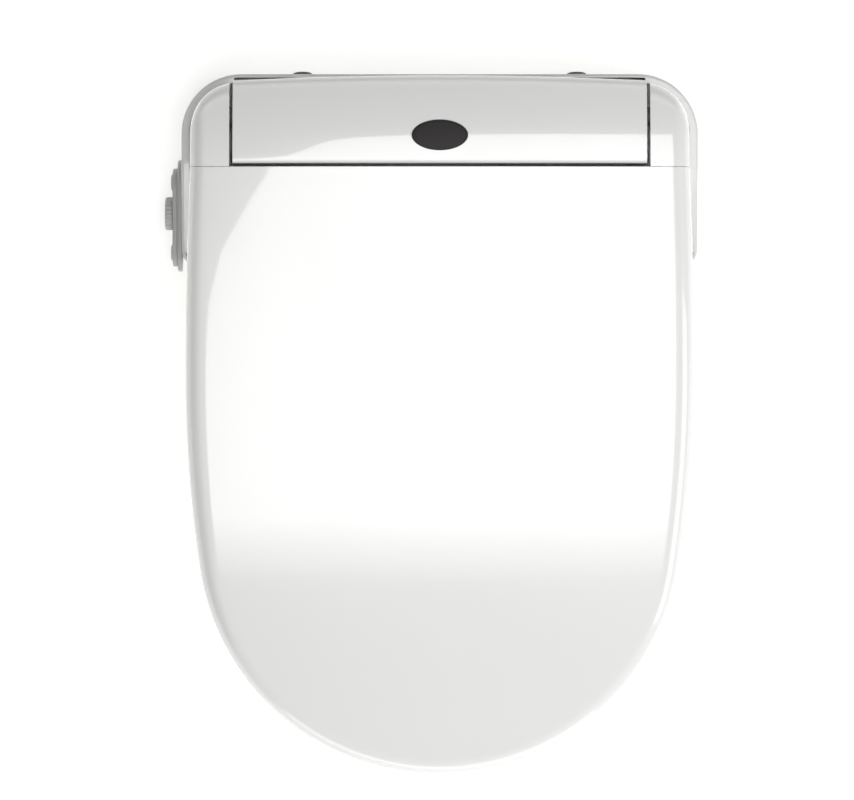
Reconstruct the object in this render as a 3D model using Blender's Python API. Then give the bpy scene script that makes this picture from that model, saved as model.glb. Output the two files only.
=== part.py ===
"""Electric bidet seat: lid, heated seat ring and base unit with its washing, drying and control parts.

Metres, +Z up, +Y to the rear. The origin is midway between the two bowl bolts, on the bowl's rim plane.
"""

import math

import bmesh
import bpy
from mathutils import Matrix, Vector

# ---- driving dimensions (metres) ----
GAP = 0.0003                    # clearance between pieces that touch
LID_HALF_WIDTH = 0.1894         # widest half width of the lid
LID_WIDEST_Y = -0.182
BOLT_TO_FRONT = 0.476           # bowl bolts to the lid's front tip
SIDE_RADIUS = 0.952             # plan radius of the lid's long sides
REAR_TAPER = 0.0035             # how much narrower the lid is at its rear edge
SEAM_Y = -0.0214                # lid's straight rear edge
LID_EDGE_RADIUS = 0.012
LID_WALL = 0.0026
LID_REAR_Z = 0.115              # top of the lid at its rear edge
LID_REAR_SLOPE = 0.05
LID_FRONT_DROP = 0.055          # fall from the rear edge to the front tip
LID_CROWN = 0.006
LID_SKIRT_LAP = 0.009           # how far the skirt ends above the seat's underside
LINER_DEPTH = 0.009             # liner below the lid's top
LINER_INSET = 0.014
LINER_WALL = 0.002
LINER_REAR_Y = -0.046

HINGE_Y = 0.017
HINGE_Z = 0.082
LID_OPENING_GAP = 0.0025        # gap round the centre cover
EAR_WIDTH = 0.0296
EAR_CORNER_RADIUS = 0.036
EAR_REAR_Y = 0.042
EAR_BOTTOM_Z = 0.0615
EAR_WALL = 0.0025

COVER_REAR_Y = 0.0468
COVER_REAR_BOW = 0.0038
COVER_REAR_DROP = 0.0094
COVER_EDGE_RADIUS = 0.006
COVER_WALL = 0.0025

BASE_CLEARANCE = 0.0041         # base outside the lid's widest line
BASE_REAR_Y = 0.0497
BASE_FRONT_Y = -0.094
BASE_CORNER_RADIUS = 0.045
BASE_FRONT_RADIUS = 0.012
BASE_WALL = 0.0025
BASE_SKIRT_Z = 0.0015
BASE_FLOOR_Z = 0.009
BASE_SIDE_TOP_REAR = 0.060
BASE_SIDE_TOP_FRONT = 0.046
DECK_TOP_Z = 0.0415
DECK_THICKNESS = 0.0025

SEAT_INSET = 0.005              # seat ring inside the lid's outline
SEAT_REAR_Y = -0.034
SEAT_BOTTOM_REAR_Z = 0.050
SEAT_BOTTOM_SLOPE = 0.0826
SEAT_THICKNESS = 0.026
SEAT_WALL = 0.0025
HOLE_HALF_WIDTH = 0.1075
HOLE_HALF_LENGTH = 0.141
HOLE_CENTRE_Y = -0.259
HOLE_ROUNDNESS = 2.3
SEAT_SPLIT = 0.006              # height of the lower shell

WINDOW_LENGTH = 0.0415
WINDOW_WIDTH = 0.0225
WINDOW_Y = 0.0021

BOLT_SPACING = 0.140
BOLT_HOLE = 0.0085
SLIDER_TRAVEL = 0.012
PLATE_HALF_X = 0.105
PLATE_HALF_Y = 0.040
PLATE_THICKNESS = 0.0085

SHAFT_RADIUS = 0.005
BUSH_RADIUS = 0.007
LUG_THICKNESS = 0.006
LUG_RADIUS = 0.0115
ARM_THICKNESS = 0.008
RUNNING_CLEARANCE = 0.0004

NOZZLE_RADIUS = 0.006
NOZZLE_SPACING = 0.028
NOZZLE_TILT = math.radians(16)
NOZZLE_LENGTH = 0.118
TOOTH_MODULE = 0.001
PINION_TEETH = 14

HINGE = Vector((0, HINGE_Y, HINGE_Z))

# ---- materials: colour, roughness, metallic ----
FINISHES = {
    "gloss_white": ((0.86, 0.86, 0.85), 0.16, 0),
    "satin_white": ((0.80, 0.80, 0.79), 0.35, 0),
    "control_grey": ((0.42, 0.42, 0.41), 0.40, 0),
    "smoked_window": ((0.045, 0.043, 0.043), 0.12, 0),
    "dark_rubber": ((0.09, 0.09, 0.09), 0.75, 0),
    "pale_rubber": ((0.62, 0.62, 0.60), 0.70, 0),
    "grey_plastic": ((0.30, 0.31, 0.32), 0.50, 0),
    "black_plastic": ((0.03, 0.03, 0.03), 0.50, 0),
    "steel": ((0.62, 0.62, 0.60), 0.30, 1),
    "brass": ((0.72, 0.55, 0.28), 0.30, 1),
    "foil": ((0.75, 0.75, 0.74), 0.35, 1),
    "circuit": ((0.05, 0.22, 0.12), 0.55, 0),
}


def clear_scene():
    for old in list(bpy.data.objects):
        bpy.data.objects.remove(old, do_unlink=True)


def finish_material(name):
    """The Principled material of one of FINISHES, made once."""
    if name in bpy.data.materials:
        return bpy.data.materials[name]
    colour, roughness, metallic = FINISHES[name]
    material = bpy.data.materials.new(name)
    material.use_nodes = True
    shader = material.node_tree.nodes["Principled BSDF"]
    shader.inputs["Base Color"].default_value = (*colour, 1)
    shader.inputs["Roughness"].default_value = roughness
    shader.inputs["Metallic"].default_value = metallic
    return material


def make(name, bm, finish=None, origin=(0, 0, 0)):
    """An object from a bmesh in world coordinates, with its origin moved to origin."""
    bmesh.ops.recalc_face_normals(bm, faces=bm.faces)
    bm.transform(Matrix.Translation(-Vector(origin)))
    mesh = bpy.data.meshes.new(name)
    bm.to_mesh(mesh)
    bm.free()
    mesh.shade_smooth()
    mesh.set_sharp_from_angle(angle=math.radians(35))
    made = bpy.data.objects.new(name, mesh)
    made.location = origin
    bpy.context.scene.collection.objects.link(made)
    if finish:
        mesh.materials.append(finish_material(finish))
    return made


def tool(made):
    """Marks an object as a cutter or a part of a union, which isn't a piece itself."""
    made.hide_render = True
    made.display_type = "WIRE"
    return made


def combine(target, other, operation):
    step = target.modifiers.new(other.name, "BOOLEAN")
    step.operation = operation
    step.solver = "EXACT"
    step.object = tool(other)
    return target


def cut(target, *others):
    for other in others:
        combine(target, other, "DIFFERENCE")
    return target


def weld(target, *others):
    for other in others:
        combine(target, other, "UNION")
    return target


def loft(name, sections, finish=None, origin=(0, 0, 0)):
    """A closed solid through sections that are lists of the same number of points, capped at both ends."""
    bm = bmesh.new()
    rows = [[bm.verts.new(point) for point in section] for section in sections]
    count = len(rows[0])
    for low, high in zip(rows, rows[1:]):
        for i in range(count):
            j = (i + 1) % count
            bm.faces.new((low[i], low[j], high[j], high[i]))
    bm.faces.new(rows[0])
    bm.faces.new(rows[-1])
    return make(name, bm, finish, origin)


def prism(name, outline, axis, low, high, finish=None, origin=(0, 0, 0)):
    """outline is a list of 2-D points in the plane square to axis, extruded from low to high along it."""
    def place(point, along):
        if axis == "X":
            return (along, point[0], point[1])
        if axis == "Y":
            return (point[0], along, point[1])
        return (point[0], point[1], along)
    sections = [[place(point, along) for point in outline] for along in (low, high)]
    return loft(name, sections, finish, origin)


def box(name, low, high, finish=None, origin=(0, 0, 0)):
    outline = [(low[0], low[1]), (high[0], low[1]), (high[0], high[1]), (low[0], high[1])]
    return prism(name, outline, "Z", low[2], high[2], finish, origin)


def circle(centre, radius, count=16):
    turns = [math.tau * (i + 0.5) / count for i in range(count)]
    return [(centre[0] + radius * math.cos(t), centre[1] + radius * math.sin(t)) for t in turns]


def rod(name, axis, centre, radius, low, high, finish=None, count=16, origin=(0, 0, 0)):
    return prism(name, circle(centre, radius, count), axis, low, high, finish, origin)


def stadium(centre, length, height, count=8):
    """A round-ended outline, long along its first axis."""
    radius = height / 2
    half = length / 2 - radius
    points = []
    for side in (1, -1):
        for i in range(count + 1):
            turn = math.pi * (i / count - 0.5) + (0 if side > 0 else math.pi)
            points.append((centre[0] + side * half + radius * math.cos(turn),
                           centre[1] + radius * math.sin(turn)))
    return points


def rounded_box(name, low, high, radius, finish=None, origin=(0, 0, 0), count=3):
    """A box whose four upright edges are rounded."""
    points = []
    corners = ((high[0], high[1], 0), (low[0], high[1], 1), (low[0], low[1], 2), (high[0], low[1], 3))
    for x, y, quarter in corners:
        sign_x = 1 if quarter in (0, 3) else -1
        sign_y = 1 if quarter in (0, 1) else -1
        for i in range(count + 1):
            turn = math.pi / 2 * (quarter + i / count)
            points.append((x - sign_x * radius + radius * math.cos(turn),
                           y - sign_y * radius + radius * math.sin(turn)))
    return prism(name, points, "Z", low[2], high[2], finish, origin)


def shell(name, rows, closed, wall, finish, origin=(0, 0, 0), cap=None):
    """A sheet through rows of points, thickened inwards by wall. cap adds a middle face to the last row."""
    bm = bmesh.new()
    grid = [[bm.verts.new(point) for point in row] for row in rows]
    count = len(grid[0])
    for low, high in zip(grid, grid[1:]):
        for i in range(count if closed else count - 1):
            j = (i + 1) % count
            bm.faces.new((low[i], low[j], high[j], high[i]))
    if cap:
        cap(bm, grid[-1])
    made = make(name, bm, finish, origin)
    solid = made.modifiers.new("wall", "SOLIDIFY")
    solid.thickness = wall
    solid.offset = -1
    solid.use_even_offset = True
    solid.use_quality_normals = True
    return made


# ---- outlines and surfaces shared by neighbouring pieces ----
TIP_Y = -BOLT_TO_FRONT


def front_radius():
    """Radius of the front arc that meets both side arcs smoothly and touches the tip."""
    reach = LID_WIDEST_Y - TIP_Y
    top = 2 * SIDE_RADIUS * LID_HALF_WIDTH - LID_HALF_WIDTH ** 2 - reach ** 2
    return top / (2 * (SIDE_RADIUS - reach))


def side_half_width(y):
    """The lid's half width behind its widest line."""
    share = (y - LID_WIDEST_Y) / (SEAM_Y - LID_WIDEST_Y)
    return LID_HALF_WIDTH - REAR_TAPER * share ** 2


REAR_HALF_WIDTH = side_half_width(SEAM_Y)
EAR_INNER_X = REAR_HALF_WIDTH - EAR_WIDTH
COVER_HALF_WIDTH = EAR_INNER_X - LID_OPENING_GAP
COVER_FRONT_Y = SEAM_Y + LID_OPENING_GAP
BASE_HALF_WIDTH = LID_HALF_WIDTH + BASE_CLEARANCE


def lid_path(inset, rear_y, side_steps=5, arc_steps=5, front_steps=9):
    """Plan points from the right rear corner round the front to the left, moved in by inset."""
    radius = front_radius()
    centre_y = TIP_Y + radius
    side_x = LID_HALF_WIDTH - SIDE_RADIUS
    meet = math.atan2(LID_WIDEST_Y - centre_y, -side_x)
    points = []
    for i in range(side_steps):
        y = rear_y + (LID_WIDEST_Y - rear_y) * i / side_steps
        points.append((side_half_width(y) - inset, y))
    for i in range(arc_steps):
        turn = meet * i / arc_steps
        reach = SIDE_RADIUS - inset
        points.append((side_x + reach * math.cos(turn), LID_WIDEST_Y - reach * math.sin(turn)))
    for i in range(front_steps + 1):
        turn = meet + (math.pi / 2 - meet) * i / front_steps
        reach = radius - inset
        points.append((reach * math.cos(turn), centre_y - reach * math.sin(turn)))
    points[-1] = (0, points[-1][1])
    return points + [(-x, y) for x, y in reversed(points[:-1])]


def lid_top(x, y):
    """Height of the lid's top surface before its edge is rounded."""
    back = SEAM_Y - y
    length = SEAM_Y - TIP_Y
    bend = (LID_FRONT_DROP - LID_REAR_SLOPE * length) / length ** 2
    crown = LID_CROWN * (abs(x) / LID_HALF_WIDTH) ** 3
    return LID_REAR_Z - LID_REAR_SLOPE * back - bend * back * back - crown


def rear_top(x, y):
    """Height of the ears and the centre cover, which carry on from the lid and fall to the rear."""
    back = y - SEAM_Y
    length = EAR_REAR_Y - SEAM_Y
    bend = (COVER_REAR_DROP + LID_REAR_SLOPE * length) / length ** 2
    crown = LID_CROWN * (abs(x) / LID_HALF_WIDTH) ** 3
    return LID_REAR_Z + LID_REAR_SLOPE * back - bend * back * back - crown


def seat_bottom(y):
    return SEAT_BOTTOM_REAR_Z - SEAT_BOTTOM_SLOPE * (SEAT_REAR_Y - y)


def edge_steps(radius, count):
    """(inset, drop) pairs round a quarter-round edge, from the wall to the top."""
    turns = [math.pi / 2 * i / count for i in range(count + 1)]
    return [(radius * (1 - math.cos(t)), radius * (1 - math.sin(t))) for t in turns]


# ---- lid ----
DOME_SHARES = (0.12, 0.35, 0.68)


def dome_rows(path, top_at, shares):
    """Rows from the path towards the middle line of the lid, for the flat part of its top."""
    return [[(x * (1 - share), y, top_at(x * (1 - share), y)) for x, y in path] for share in shares]


def close_middle(bm, row):
    """Closes a U-shaped row by joining each point to its mirror across X = 0."""
    last = len(row) - 1
    for i in range(last // 2):
        corners = (row[i], row[i + 1], row[last - i - 1], row[last - i])
        bm.faces.new(list(dict.fromkeys(corners)))


def lid_shell():
    rows = [[(x, y, seat_bottom(y) + LID_SKIRT_LAP) for x, y in lid_path(0, SEAM_Y)]]
    for inset, drop in edge_steps(LID_EDGE_RADIUS, 4):
        path = lid_path(inset, SEAM_Y)
        rows.append([(x, y, lid_top(x, y) - drop) for x, y in path])
    inner = lid_path(LID_EDGE_RADIUS, SEAM_Y)
    rows += dome_rows(inner, lid_top, DOME_SHARES)
    return shell("lid_shell", rows, False, LID_WALL, "gloss_white", HINGE, close_middle)


def lid_liner():
    def under(x, y):
        return lid_top(x, y) - LINER_DEPTH
    inner = lid_path(LINER_INSET, LINER_REAR_Y)
    turned_up = lid_path(LINER_INSET - 0.002, LINER_REAR_Y)
    rows = [[(x, y, under(x, y) + 0.004) for x, y in turned_up]]
    rows += dome_rows(inner, under, (0, 0.35, 0.68))
    return shell("lid_liner", rows, False, LINER_WALL, "satin_white", HINGE, close_middle)


def ear_section(side, x, wall):
    """Side outline of an ear at distance x from the middle; wall above 0 gives its hollow."""
    edge = max(0, LID_EDGE_RADIUS - (REAR_HALF_WIDTH - x))
    drop = LID_EDGE_RADIUS - math.sqrt(max(0, LID_EDGE_RADIUS ** 2 - edge ** 2))
    corner_x = REAR_HALF_WIDTH - EAR_CORNER_RADIUS
    across = max(0, x - corner_x)
    corner_y = EAR_REAR_Y - EAR_CORNER_RADIUS
    rear = corner_y + math.sqrt(max(0, EAR_CORNER_RADIUS ** 2 - across ** 2)) - wall
    front = SEAM_Y + GAP if wall == 0 else SEAM_Y - 0.02
    low = EAR_BOTTOM_Z if wall == 0 else EAR_BOTTOM_Z - 0.02
    round_off = LID_EDGE_RADIUS
    points = [(front, low)]
    for i in range(7):
        y = front + (rear - round_off - front) * i / 6
        points.append((y, rear_top(x, y) - drop - wall))
    for i in range(1, 6):
        turn = math.pi / 2 * (1 - i / 5)
        y = rear - round_off + round_off * math.cos(turn)
        z = rear_top(x, rear - round_off) - round_off + round_off * math.sin(turn)
        points.append((y, z - drop - wall))
    points.append((rear, low))
    return [(side * x, y, z) for y, z in points]


def ear(name, side):
    """The cheek that covers the hinge beside the centre cover and turns with the lid."""
    outer_edge = [REAR_HALF_WIDTH - inset for inset, _ in reversed(edge_steps(LID_EDGE_RADIUS, 5))]
    outer = loft(name, [ear_section(side, x, 0) for x in [EAR_INNER_X] + outer_edge],
                 "gloss_white", HINGE)
    hollow_edge = [x - EAR_WALL for x in outer_edge]
    hollow = loft(name + "_hollow", [ear_section(side, x, EAR_WALL)
                                     for x in [EAR_INNER_X + EAR_WALL] + hollow_edge[:-1]])
    hole = rod(name + "_pin_hole", "X", (HINGE_Y, HINGE_Z), BUSH_RADIUS + 2 * RUNNING_CLEARANCE,
               side * (EAR_INNER_X - 0.01), side * (EAR_INNER_X + 0.01))
    return cut(outer, hollow, hole)


LUG_INNER_X = EAR_INNER_X + EAR_WALL + 0.0012
ARM_INNER_X = LUG_INNER_X + LUG_THICKNESS + 0.0015


def lid_arm(name, side):
    """Bracket inside the ear: a boss on the hinge and a strap up to the underside of the lid."""
    low = side * ARM_INNER_X
    high = side * (ARM_INNER_X + ARM_THICKNESS)
    strap = []
    front_y = SEAM_Y - 0.030
    for y in (HINGE_Y, SEAM_Y, front_y):
        strap.append((y, min(lid_top(ARM_INNER_X + ARM_THICKNESS, y),
                             rear_top(ARM_INNER_X + ARM_THICKNESS, max(y, SEAM_Y)))
                      - LID_WALL - 0.0065))
    strap.append((front_y, strap[-1][1] - 0.007))
    strap.append((SEAM_Y + 0.006, strap[1][1] - 0.012))
    strap.append((HINGE_Y, HINGE_Z))
    made = rod(name, "X", (HINGE_Y, HINGE_Z), LUG_RADIUS, low, high, "grey_plastic", origin=HINGE)
    weld(made, prism(name + "_strap", strap, "X", low, high))
    bore = rod(name + "_bore", "X", (HINGE_Y, HINGE_Z), SHAFT_RADIUS + RUNNING_CLEARANCE,
               side * (ARM_INNER_X - 0.01), side * (ARM_INNER_X + ARM_THICKNESS + 0.01))
    return cut(made, bore)


def seat_profile_top(share, y):
    """Height of the seat ring's top across its width, from outer edge 0 to hole edge 1."""
    top = seat_bottom(y) + SEAT_THICKNESS
    outer = 0.010 * max(0, 1 - share / 0.14) ** 2
    inner = 0.011 * max(0, (share - 0.80) / 0.20) ** 2
    dish = 0.0025 * math.sin(math.pi * min(1, max(0, (share - 0.1) / 0.8)))
    return top - outer - inner - dish


def seat_loops():
    """Matching plan points of the ring's outer edge and of its hole."""
    path = lid_path(SEAT_INSET, SEAT_REAR_Y, 5, 4, 8)
    corner = 0.012
    first = path[0]
    rounded = [(first[0] - corner * (1 - math.sin(t)), SEAT_REAR_Y - corner * (1 - math.cos(t)))
               for t in (math.pi / 6, math.pi / 3)]
    start = (first[0], SEAT_REAR_Y - corner)
    half = [start] + path[1:]
    across = [first[0] - corner] + [(first[0] - corner) * share for share in (0.75, 0.5, 0.25)]
    left = [(-x, SEAT_REAR_Y) for x in across]
    right = [(x, SEAT_REAR_Y) for x in reversed(across)]
    half[-1] = (-first[0], SEAT_REAR_Y - corner)
    loop = half + [(-x, y) for x, y in reversed(rounded)] + left + [(0, SEAT_REAR_Y)] + right
    loop += rounded
    hole = []
    for x, y in loop:
        turn = math.atan2(y - HOLE_CENTRE_Y, x)
        spread = abs(math.cos(turn) / HOLE_HALF_WIDTH) ** HOLE_ROUNDNESS
        spread += abs(math.sin(turn) / HOLE_HALF_LENGTH) ** HOLE_ROUNDNESS
        reach = spread ** (-1 / HOLE_ROUNDNESS)
        hole.append((reach * math.cos(turn), HOLE_CENTRE_Y + reach * math.sin(turn)))
    return loop, hole


def ring_rows(shares_and_heights):
    loop, hole = seat_loops()
    rows = []
    for share, height in shares_and_heights:
        row = []
        for (ox, oy), (hx, hy) in zip(loop, hole):
            x = ox + (hx - ox) * share
            y = oy + (hy - oy) * share
            row.append((x, y, height(share, y)))
        rows.append(row)
    return rows


def seat_upper_shell():
    def wall_foot(share, y):
        return seat_bottom(y) + SEAT_SPLIT + GAP
    shares = (0, 0.02, 0.07, 0.14, 0.35, 0.6, 0.8, 0.9, 0.97, 1)
    rows = ring_rows([(0, wall_foot)] + [(s, seat_profile_top) for s in shares] + [(1, wall_foot)])
    return shell("seat_upper_shell", rows, True, SEAT_WALL, "gloss_white", HINGE)


def seat_lower_shell():
    def rim(share, y):
        return seat_bottom(y) + SEAT_SPLIT

    def bend(share, y):
        return seat_bottom(y) + 0.002

    def flat(share, y):
        return seat_bottom(y)
    rows = ring_rows([(0, rim), (0, bend), (0.03, flat), (0.97, flat), (1, bend), (1, rim)])
    return shell("seat_lower_shell", rows, True, SEAT_WALL, "gloss_white", HINGE)


def seat_heater_mat():
    def under(share, y):
        return seat_profile_top(share, y) - SEAT_WALL - 3 * GAP
    rows = ring_rows([(s, under) for s in (0.16, 0.35, 0.6, 0.78)])
    return shell("seat_heater_mat", rows, True, 0.0008, "foil", HINGE)


def seat_lug(name, side):
    """Hinge arm of the seat: a boss on the shaft, an arm, and a plate screwed to the ring's rear wall."""
    low = side * LUG_INNER_X
    high = side * (LUG_INNER_X + LUG_THICKNESS)
    rear_wall = SEAT_REAR_Y + GAP
    foot = seat_bottom(SEAT_REAR_Y)
    arm = [(HINGE_Y, HINGE_Z + 0.008), (rear_wall, foot + 0.020), (rear_wall, foot + 0.010),
           (HINGE_Y, HINGE_Z - 0.006)]
    made = rod(name, "X", (HINGE_Y, HINGE_Z), LUG_RADIUS, low, high, "grey_plastic", origin=HINGE)
    plate_x = sorted((side * (LUG_INNER_X - 0.001), side * (LUG_INNER_X + 0.013)))
    plate = box(name + "_plate", (plate_x[0], rear_wall, foot + 0.002),
                (plate_x[1], rear_wall + 0.003, foot + 0.018))
    bore = rod(name + "_bore", "X", (HINGE_Y, HINGE_Z), SHAFT_RADIUS + RUNNING_CLEARANCE,
               side * (LUG_INNER_X - 0.01), side * (LUG_INNER_X + LUG_THICKNESS + 0.01))
    weld(made, prism(name + "_arm", arm, "X", low, high), plate)
    return cut(made, bore)


def rubber_foot(name, x, y, top, bottom, radius, finish, tilt=0.0):
    """A round pad whose top is cut to the slope that it sits under."""
    sections = []
    for share, size in ((0, 0.8), (0.35, 1), (1, 1)):
        ring = []
        for px, py in circle((x, y), radius * size, 16):
            upper = top + (py - y) * tilt
            ring.append((px, py, bottom + (upper - bottom) * share))
        sections.append(ring)
    return loft(name, sections, finish, HINGE)


def lid_bumper(name, x, y):
    """Soft stop under the liner, which lands on the seat when the lid is down."""
    share = 0.33
    sections = []
    for height, size in ((0, 0.78), (0.3, 1), (1, 1)):
        ring = []
        for px, py in circle((x, y), 0.008, 14):
            upper = lid_top(x, py) - LINER_DEPTH - LINER_WALL - 4 * GAP
            px = x + (px - x) * size
            py = y + (py - y) * size
            bottom = seat_profile_top(share, py) + 0.0008
            ring.append((px, py, bottom + (upper - bottom) * height))
        sections.append(ring)
    return loft(name, sections, "pale_rubber", HINGE)


# ---- base unit ----
def base_outline(inset):
    """Plan outline of the base, with rounded rear and front corners, moved in by inset."""
    half = BASE_HALF_WIDTH - inset
    rear = BASE_REAR_Y - inset
    front = BASE_FRONT_Y + inset
    big = BASE_CORNER_RADIUS - inset
    small = max(0.002, BASE_FRONT_RADIUS - inset)
    points = []
    for i in range(8):
        turn = math.pi / 2 * i / 7
        points.append((half - big + big * math.cos(turn), rear - big + big * math.sin(turn)))
    points += [(-x, y) for x, y in reversed(points)]
    for i in range(5):
        turn = math.pi + math.pi / 2 * i / 4
        points.append((-half + small + small * math.cos(turn), front + small + small * math.sin(turn)))
    points += [(-x, y) for x, y in reversed(points[16:])]
    return points


def base_wall_top(y):
    """The wall's top edge: high beside the ears, falling along the arms and round their front ends."""
    share = (y - BASE_FRONT_Y) / (SEAM_Y - BASE_FRONT_Y)
    side = BASE_SIDE_TOP_FRONT + (BASE_SIDE_TOP_REAR - BASE_SIDE_TOP_FRONT) * min(1, share)
    blend = min(1, (y - BASE_FRONT_Y) / BASE_FRONT_RADIUS)
    ease = math.sqrt(max(0, 1 - (1 - blend) ** 2))
    return DECK_TOP_Z - GAP + (side - DECK_TOP_Z + GAP) * ease


NOZZLE_BAY_HALF = 0.033
OUTLET_X = (0.046, 0.090)
OUTLET_Z = (0.015, 0.034)
INTAKE_X = (-0.092, -0.048)
FILTER_Y = (-0.070, -0.030)
FILTER_Z = (0.0135, 0.0335)
INLET_X = -(BASE_HALF_WIDTH - 0.0335)
INLET_Y = 0.012
INLET_RADIUS = 0.0102
CORD_X = BASE_HALF_WIDTH - 0.0435
CORD_Z = 0.024


def sample(outline, step):
    """Adds points along an outline's long straight runs."""
    points = []
    for i, start in enumerate(outline):
        end = outline[(i + 1) % len(outline)]
        count = max(1, math.ceil(math.dist(start, end) / step))
        points += [(start[0] + (end[0] - start[0]) * k / count,
                    start[1] + (end[1] - start[1]) * k / count) for k in range(count)]
    return points


def base_lower():
    """Tray of the base unit: a skirt wall all round and a floor above the mounting plate."""
    outline = sample(base_outline(0), 0.045)
    rows = [[(x, y, BASE_SKIRT_Z) for x, y in outline], [(x, y, base_wall_top(y)) for x, y in outline]]
    made = shell("base_lower", rows, True, BASE_WALL, "gloss_white")
    half_wall = BASE_WALL / 2
    floor = prism("base_floor", base_outline(half_wall), "Z", BASE_FLOOR_Z, BASE_FLOOR_Z + BASE_WALL)
    front = BASE_FRONT_Y
    bay = box("nozzle_mouth", (-NOZZLE_BAY_HALF, front - 0.01, -0.01),
              (NOZZLE_BAY_HALF, front + 0.028, 0.030))
    outlet = box("dryer_mouth", (OUTLET_X[0], front - 0.01, OUTLET_Z[0]),
                 (OUTLET_X[1], front + 0.01, OUTLET_Z[1]))
    filter_mouth = box("filter_mouth", (BASE_HALF_WIDTH - 0.02, FILTER_Y[0], FILTER_Z[0]),
                       (BASE_HALF_WIDTH + 0.02, FILTER_Y[1], FILTER_Z[1]))
    hose_well = rod("hose_well", "Z", (INLET_X, INLET_Y), 0.018, -0.01, 0.02)
    cord_hole = rod("cord_hole", "Y", (CORD_X, CORD_Z), 0.0065, 0.02, 0.09, count=16)
    button_hole = rod("button_hole", "X", (-0.002, 0.026), 0.0075, BASE_HALF_WIDTH - 0.02,
                      BASE_HALF_WIDTH + 0.02, count=16)
    intakes = [box("intake_slot", (INTAKE_X[0], front - 0.01, 0.017 + 0.006 * i),
                   (INTAKE_X[1], front + 0.01, 0.020 + 0.006 * i)) for i in range(3)]
    weld(made, floor)
    return cut(made, bay, outlet, filter_mouth, hose_well, cord_hole, button_hole, *intakes)


def base_deck():
    """Cover over the front of the base and under the ears, open where the centre cover stands."""
    low = DECK_TOP_Z - DECK_THICKNESS
    made = prism("base_deck", base_outline(BASE_WALL + GAP), "Z", low, DECK_TOP_Z, "satin_white")
    ledge = COVER_WALL + 0.0012
    opening = box("cover_opening", (-COVER_HALF_WIDTH + ledge, COVER_FRONT_Y + ledge, low - 0.01),
                  (COVER_HALF_WIDTH - ledge, COVER_REAR_Y - COVER_REAR_BOW - ledge, DECK_TOP_Z + 0.01))
    return cut(made, opening)


def cover_section(x, wall):
    """Side outline of the centre cover at x; wall above 0 gives its hollow."""
    rear = COVER_REAR_Y - COVER_REAR_BOW * (x / COVER_HALF_WIDTH) ** 2 - wall
    front = COVER_FRONT_Y + wall
    low = DECK_TOP_Z + GAP if wall == 0 else DECK_TOP_Z - 0.02
    front_round = 0.003
    points = [(front, low)]
    for i in range(4):
        turn = math.pi / 2 * i / 3
        points.append((front + front_round * (1 - math.cos(turn)),
                       rear_top(x, front) - front_round * (1 - math.sin(turn)) - wall))
    flat_end = rear - COVER_EDGE_RADIUS
    for i in range(1, 7):
        y = front + front_round + (flat_end - front - front_round) * i / 6
        points.append((y, rear_top(x, y) - wall))
    for i in range(1, 5):
        turn = math.pi / 2 * (1 - i / 4)
        points.append((flat_end + COVER_EDGE_RADIUS * math.cos(turn),
                       rear_top(x, flat_end) - COVER_EDGE_RADIUS * (1 - math.sin(turn)) - wall))
    points.append((rear, low))
    return [(x, y, z) for y, z in points]


def rear_cover():
    """Fixed centre cover over the electronics, between the ears."""
    shares = [i / 6 for i in range(-6, 7)]
    outer = loft("rear_cover", [cover_section(COVER_HALF_WIDTH * s, 0) for s in shares], "gloss_white")
    inner_half = COVER_HALF_WIDTH - COVER_WALL
    hollow = loft("rear_cover_hollow", [cover_section(inner_half * s, COVER_WALL) for s in shares])
    window = oval("window_hole", WINDOW_LENGTH / 2 + GAP, WINDOW_WIDTH / 2 + GAP, -0.02, 0.02)
    pins = [rod("bush_hole", "X", (HINGE_Y, HINGE_Z), BUSH_RADIUS + GAP,
                side * (COVER_HALF_WIDTH - 0.01), side * (COVER_HALF_WIDTH + 0.01)) for side in (-1, 1)]
    return cut(outer, hollow, window, *pins)


def oval(name, half_x, half_y, low, high, finish=None):
    """An oval plug through the cover's top, low and high above it, that leans with the cover's slope."""
    lean = (rear_top(0, WINDOW_Y + half_y) - rear_top(0, WINDOW_Y - half_y)) / (2 * half_y)
    sections = []
    for level in (low, high):
        ring = []
        for i in range(28):
            turn = math.tau * i / 28
            across = half_y * math.sin(turn)
            ring.append((half_x * math.cos(turn), WINDOW_Y + across,
                         rear_top(0, WINDOW_Y) + level + lean * across))
        sections.append(ring)
    return loft(name, sections, finish)


def sensor_window():
    """Smoked oval lens over the remote-control and light sensors, with a ledge behind it."""
    made = oval("sensor_window", WINDOW_LENGTH / 2, WINDOW_WIDTH / 2, -0.0035, -0.0006, "smoked_window")
    ledge = oval("window_ledge", WINDOW_LENGTH / 2 + 0.002, WINDOW_WIDTH / 2 + 0.002, -0.0050, -0.0034)
    return weld(made, ledge)


def hinge_bush(name, side):
    """Flanged plain bearing in the cover's side wall, which the hinge shaft turns in."""
    outer = rod(name, "X", (HINGE_Y, HINGE_Z), BUSH_RADIUS, side * (COVER_HALF_WIDTH - 0.006),
                side * (EAR_INNER_X + 0.003), "grey_plastic", 20)
    bore = rod(name + "_bore", "X", (HINGE_Y, HINGE_Z), SHAFT_RADIUS + RUNNING_CLEARANCE,
               side * (COVER_HALF_WIDTH - 0.02), side * (EAR_INNER_X + 0.02), count=20)
    return cut(outer, bore)


def hinge_shaft(name, side):
    """Steel shaft from the damper through bush, seat lug and lid arm."""
    return rod(name, "X", (HINGE_Y, HINGE_Z), SHAFT_RADIUS, side * (COVER_HALF_WIDTH - 0.012),
               side * (ARM_INNER_X + ARM_THICKNESS + 0.001), "steel", 20, HINGE)


# The barrel ends clear of the blower and the heater, which stand this far from the middle.
DAMPER_INNER_X = 0.0863
DAMPER_LENGTH = COVER_HALF_WIDTH - 0.0125 - DAMPER_INNER_X


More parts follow.
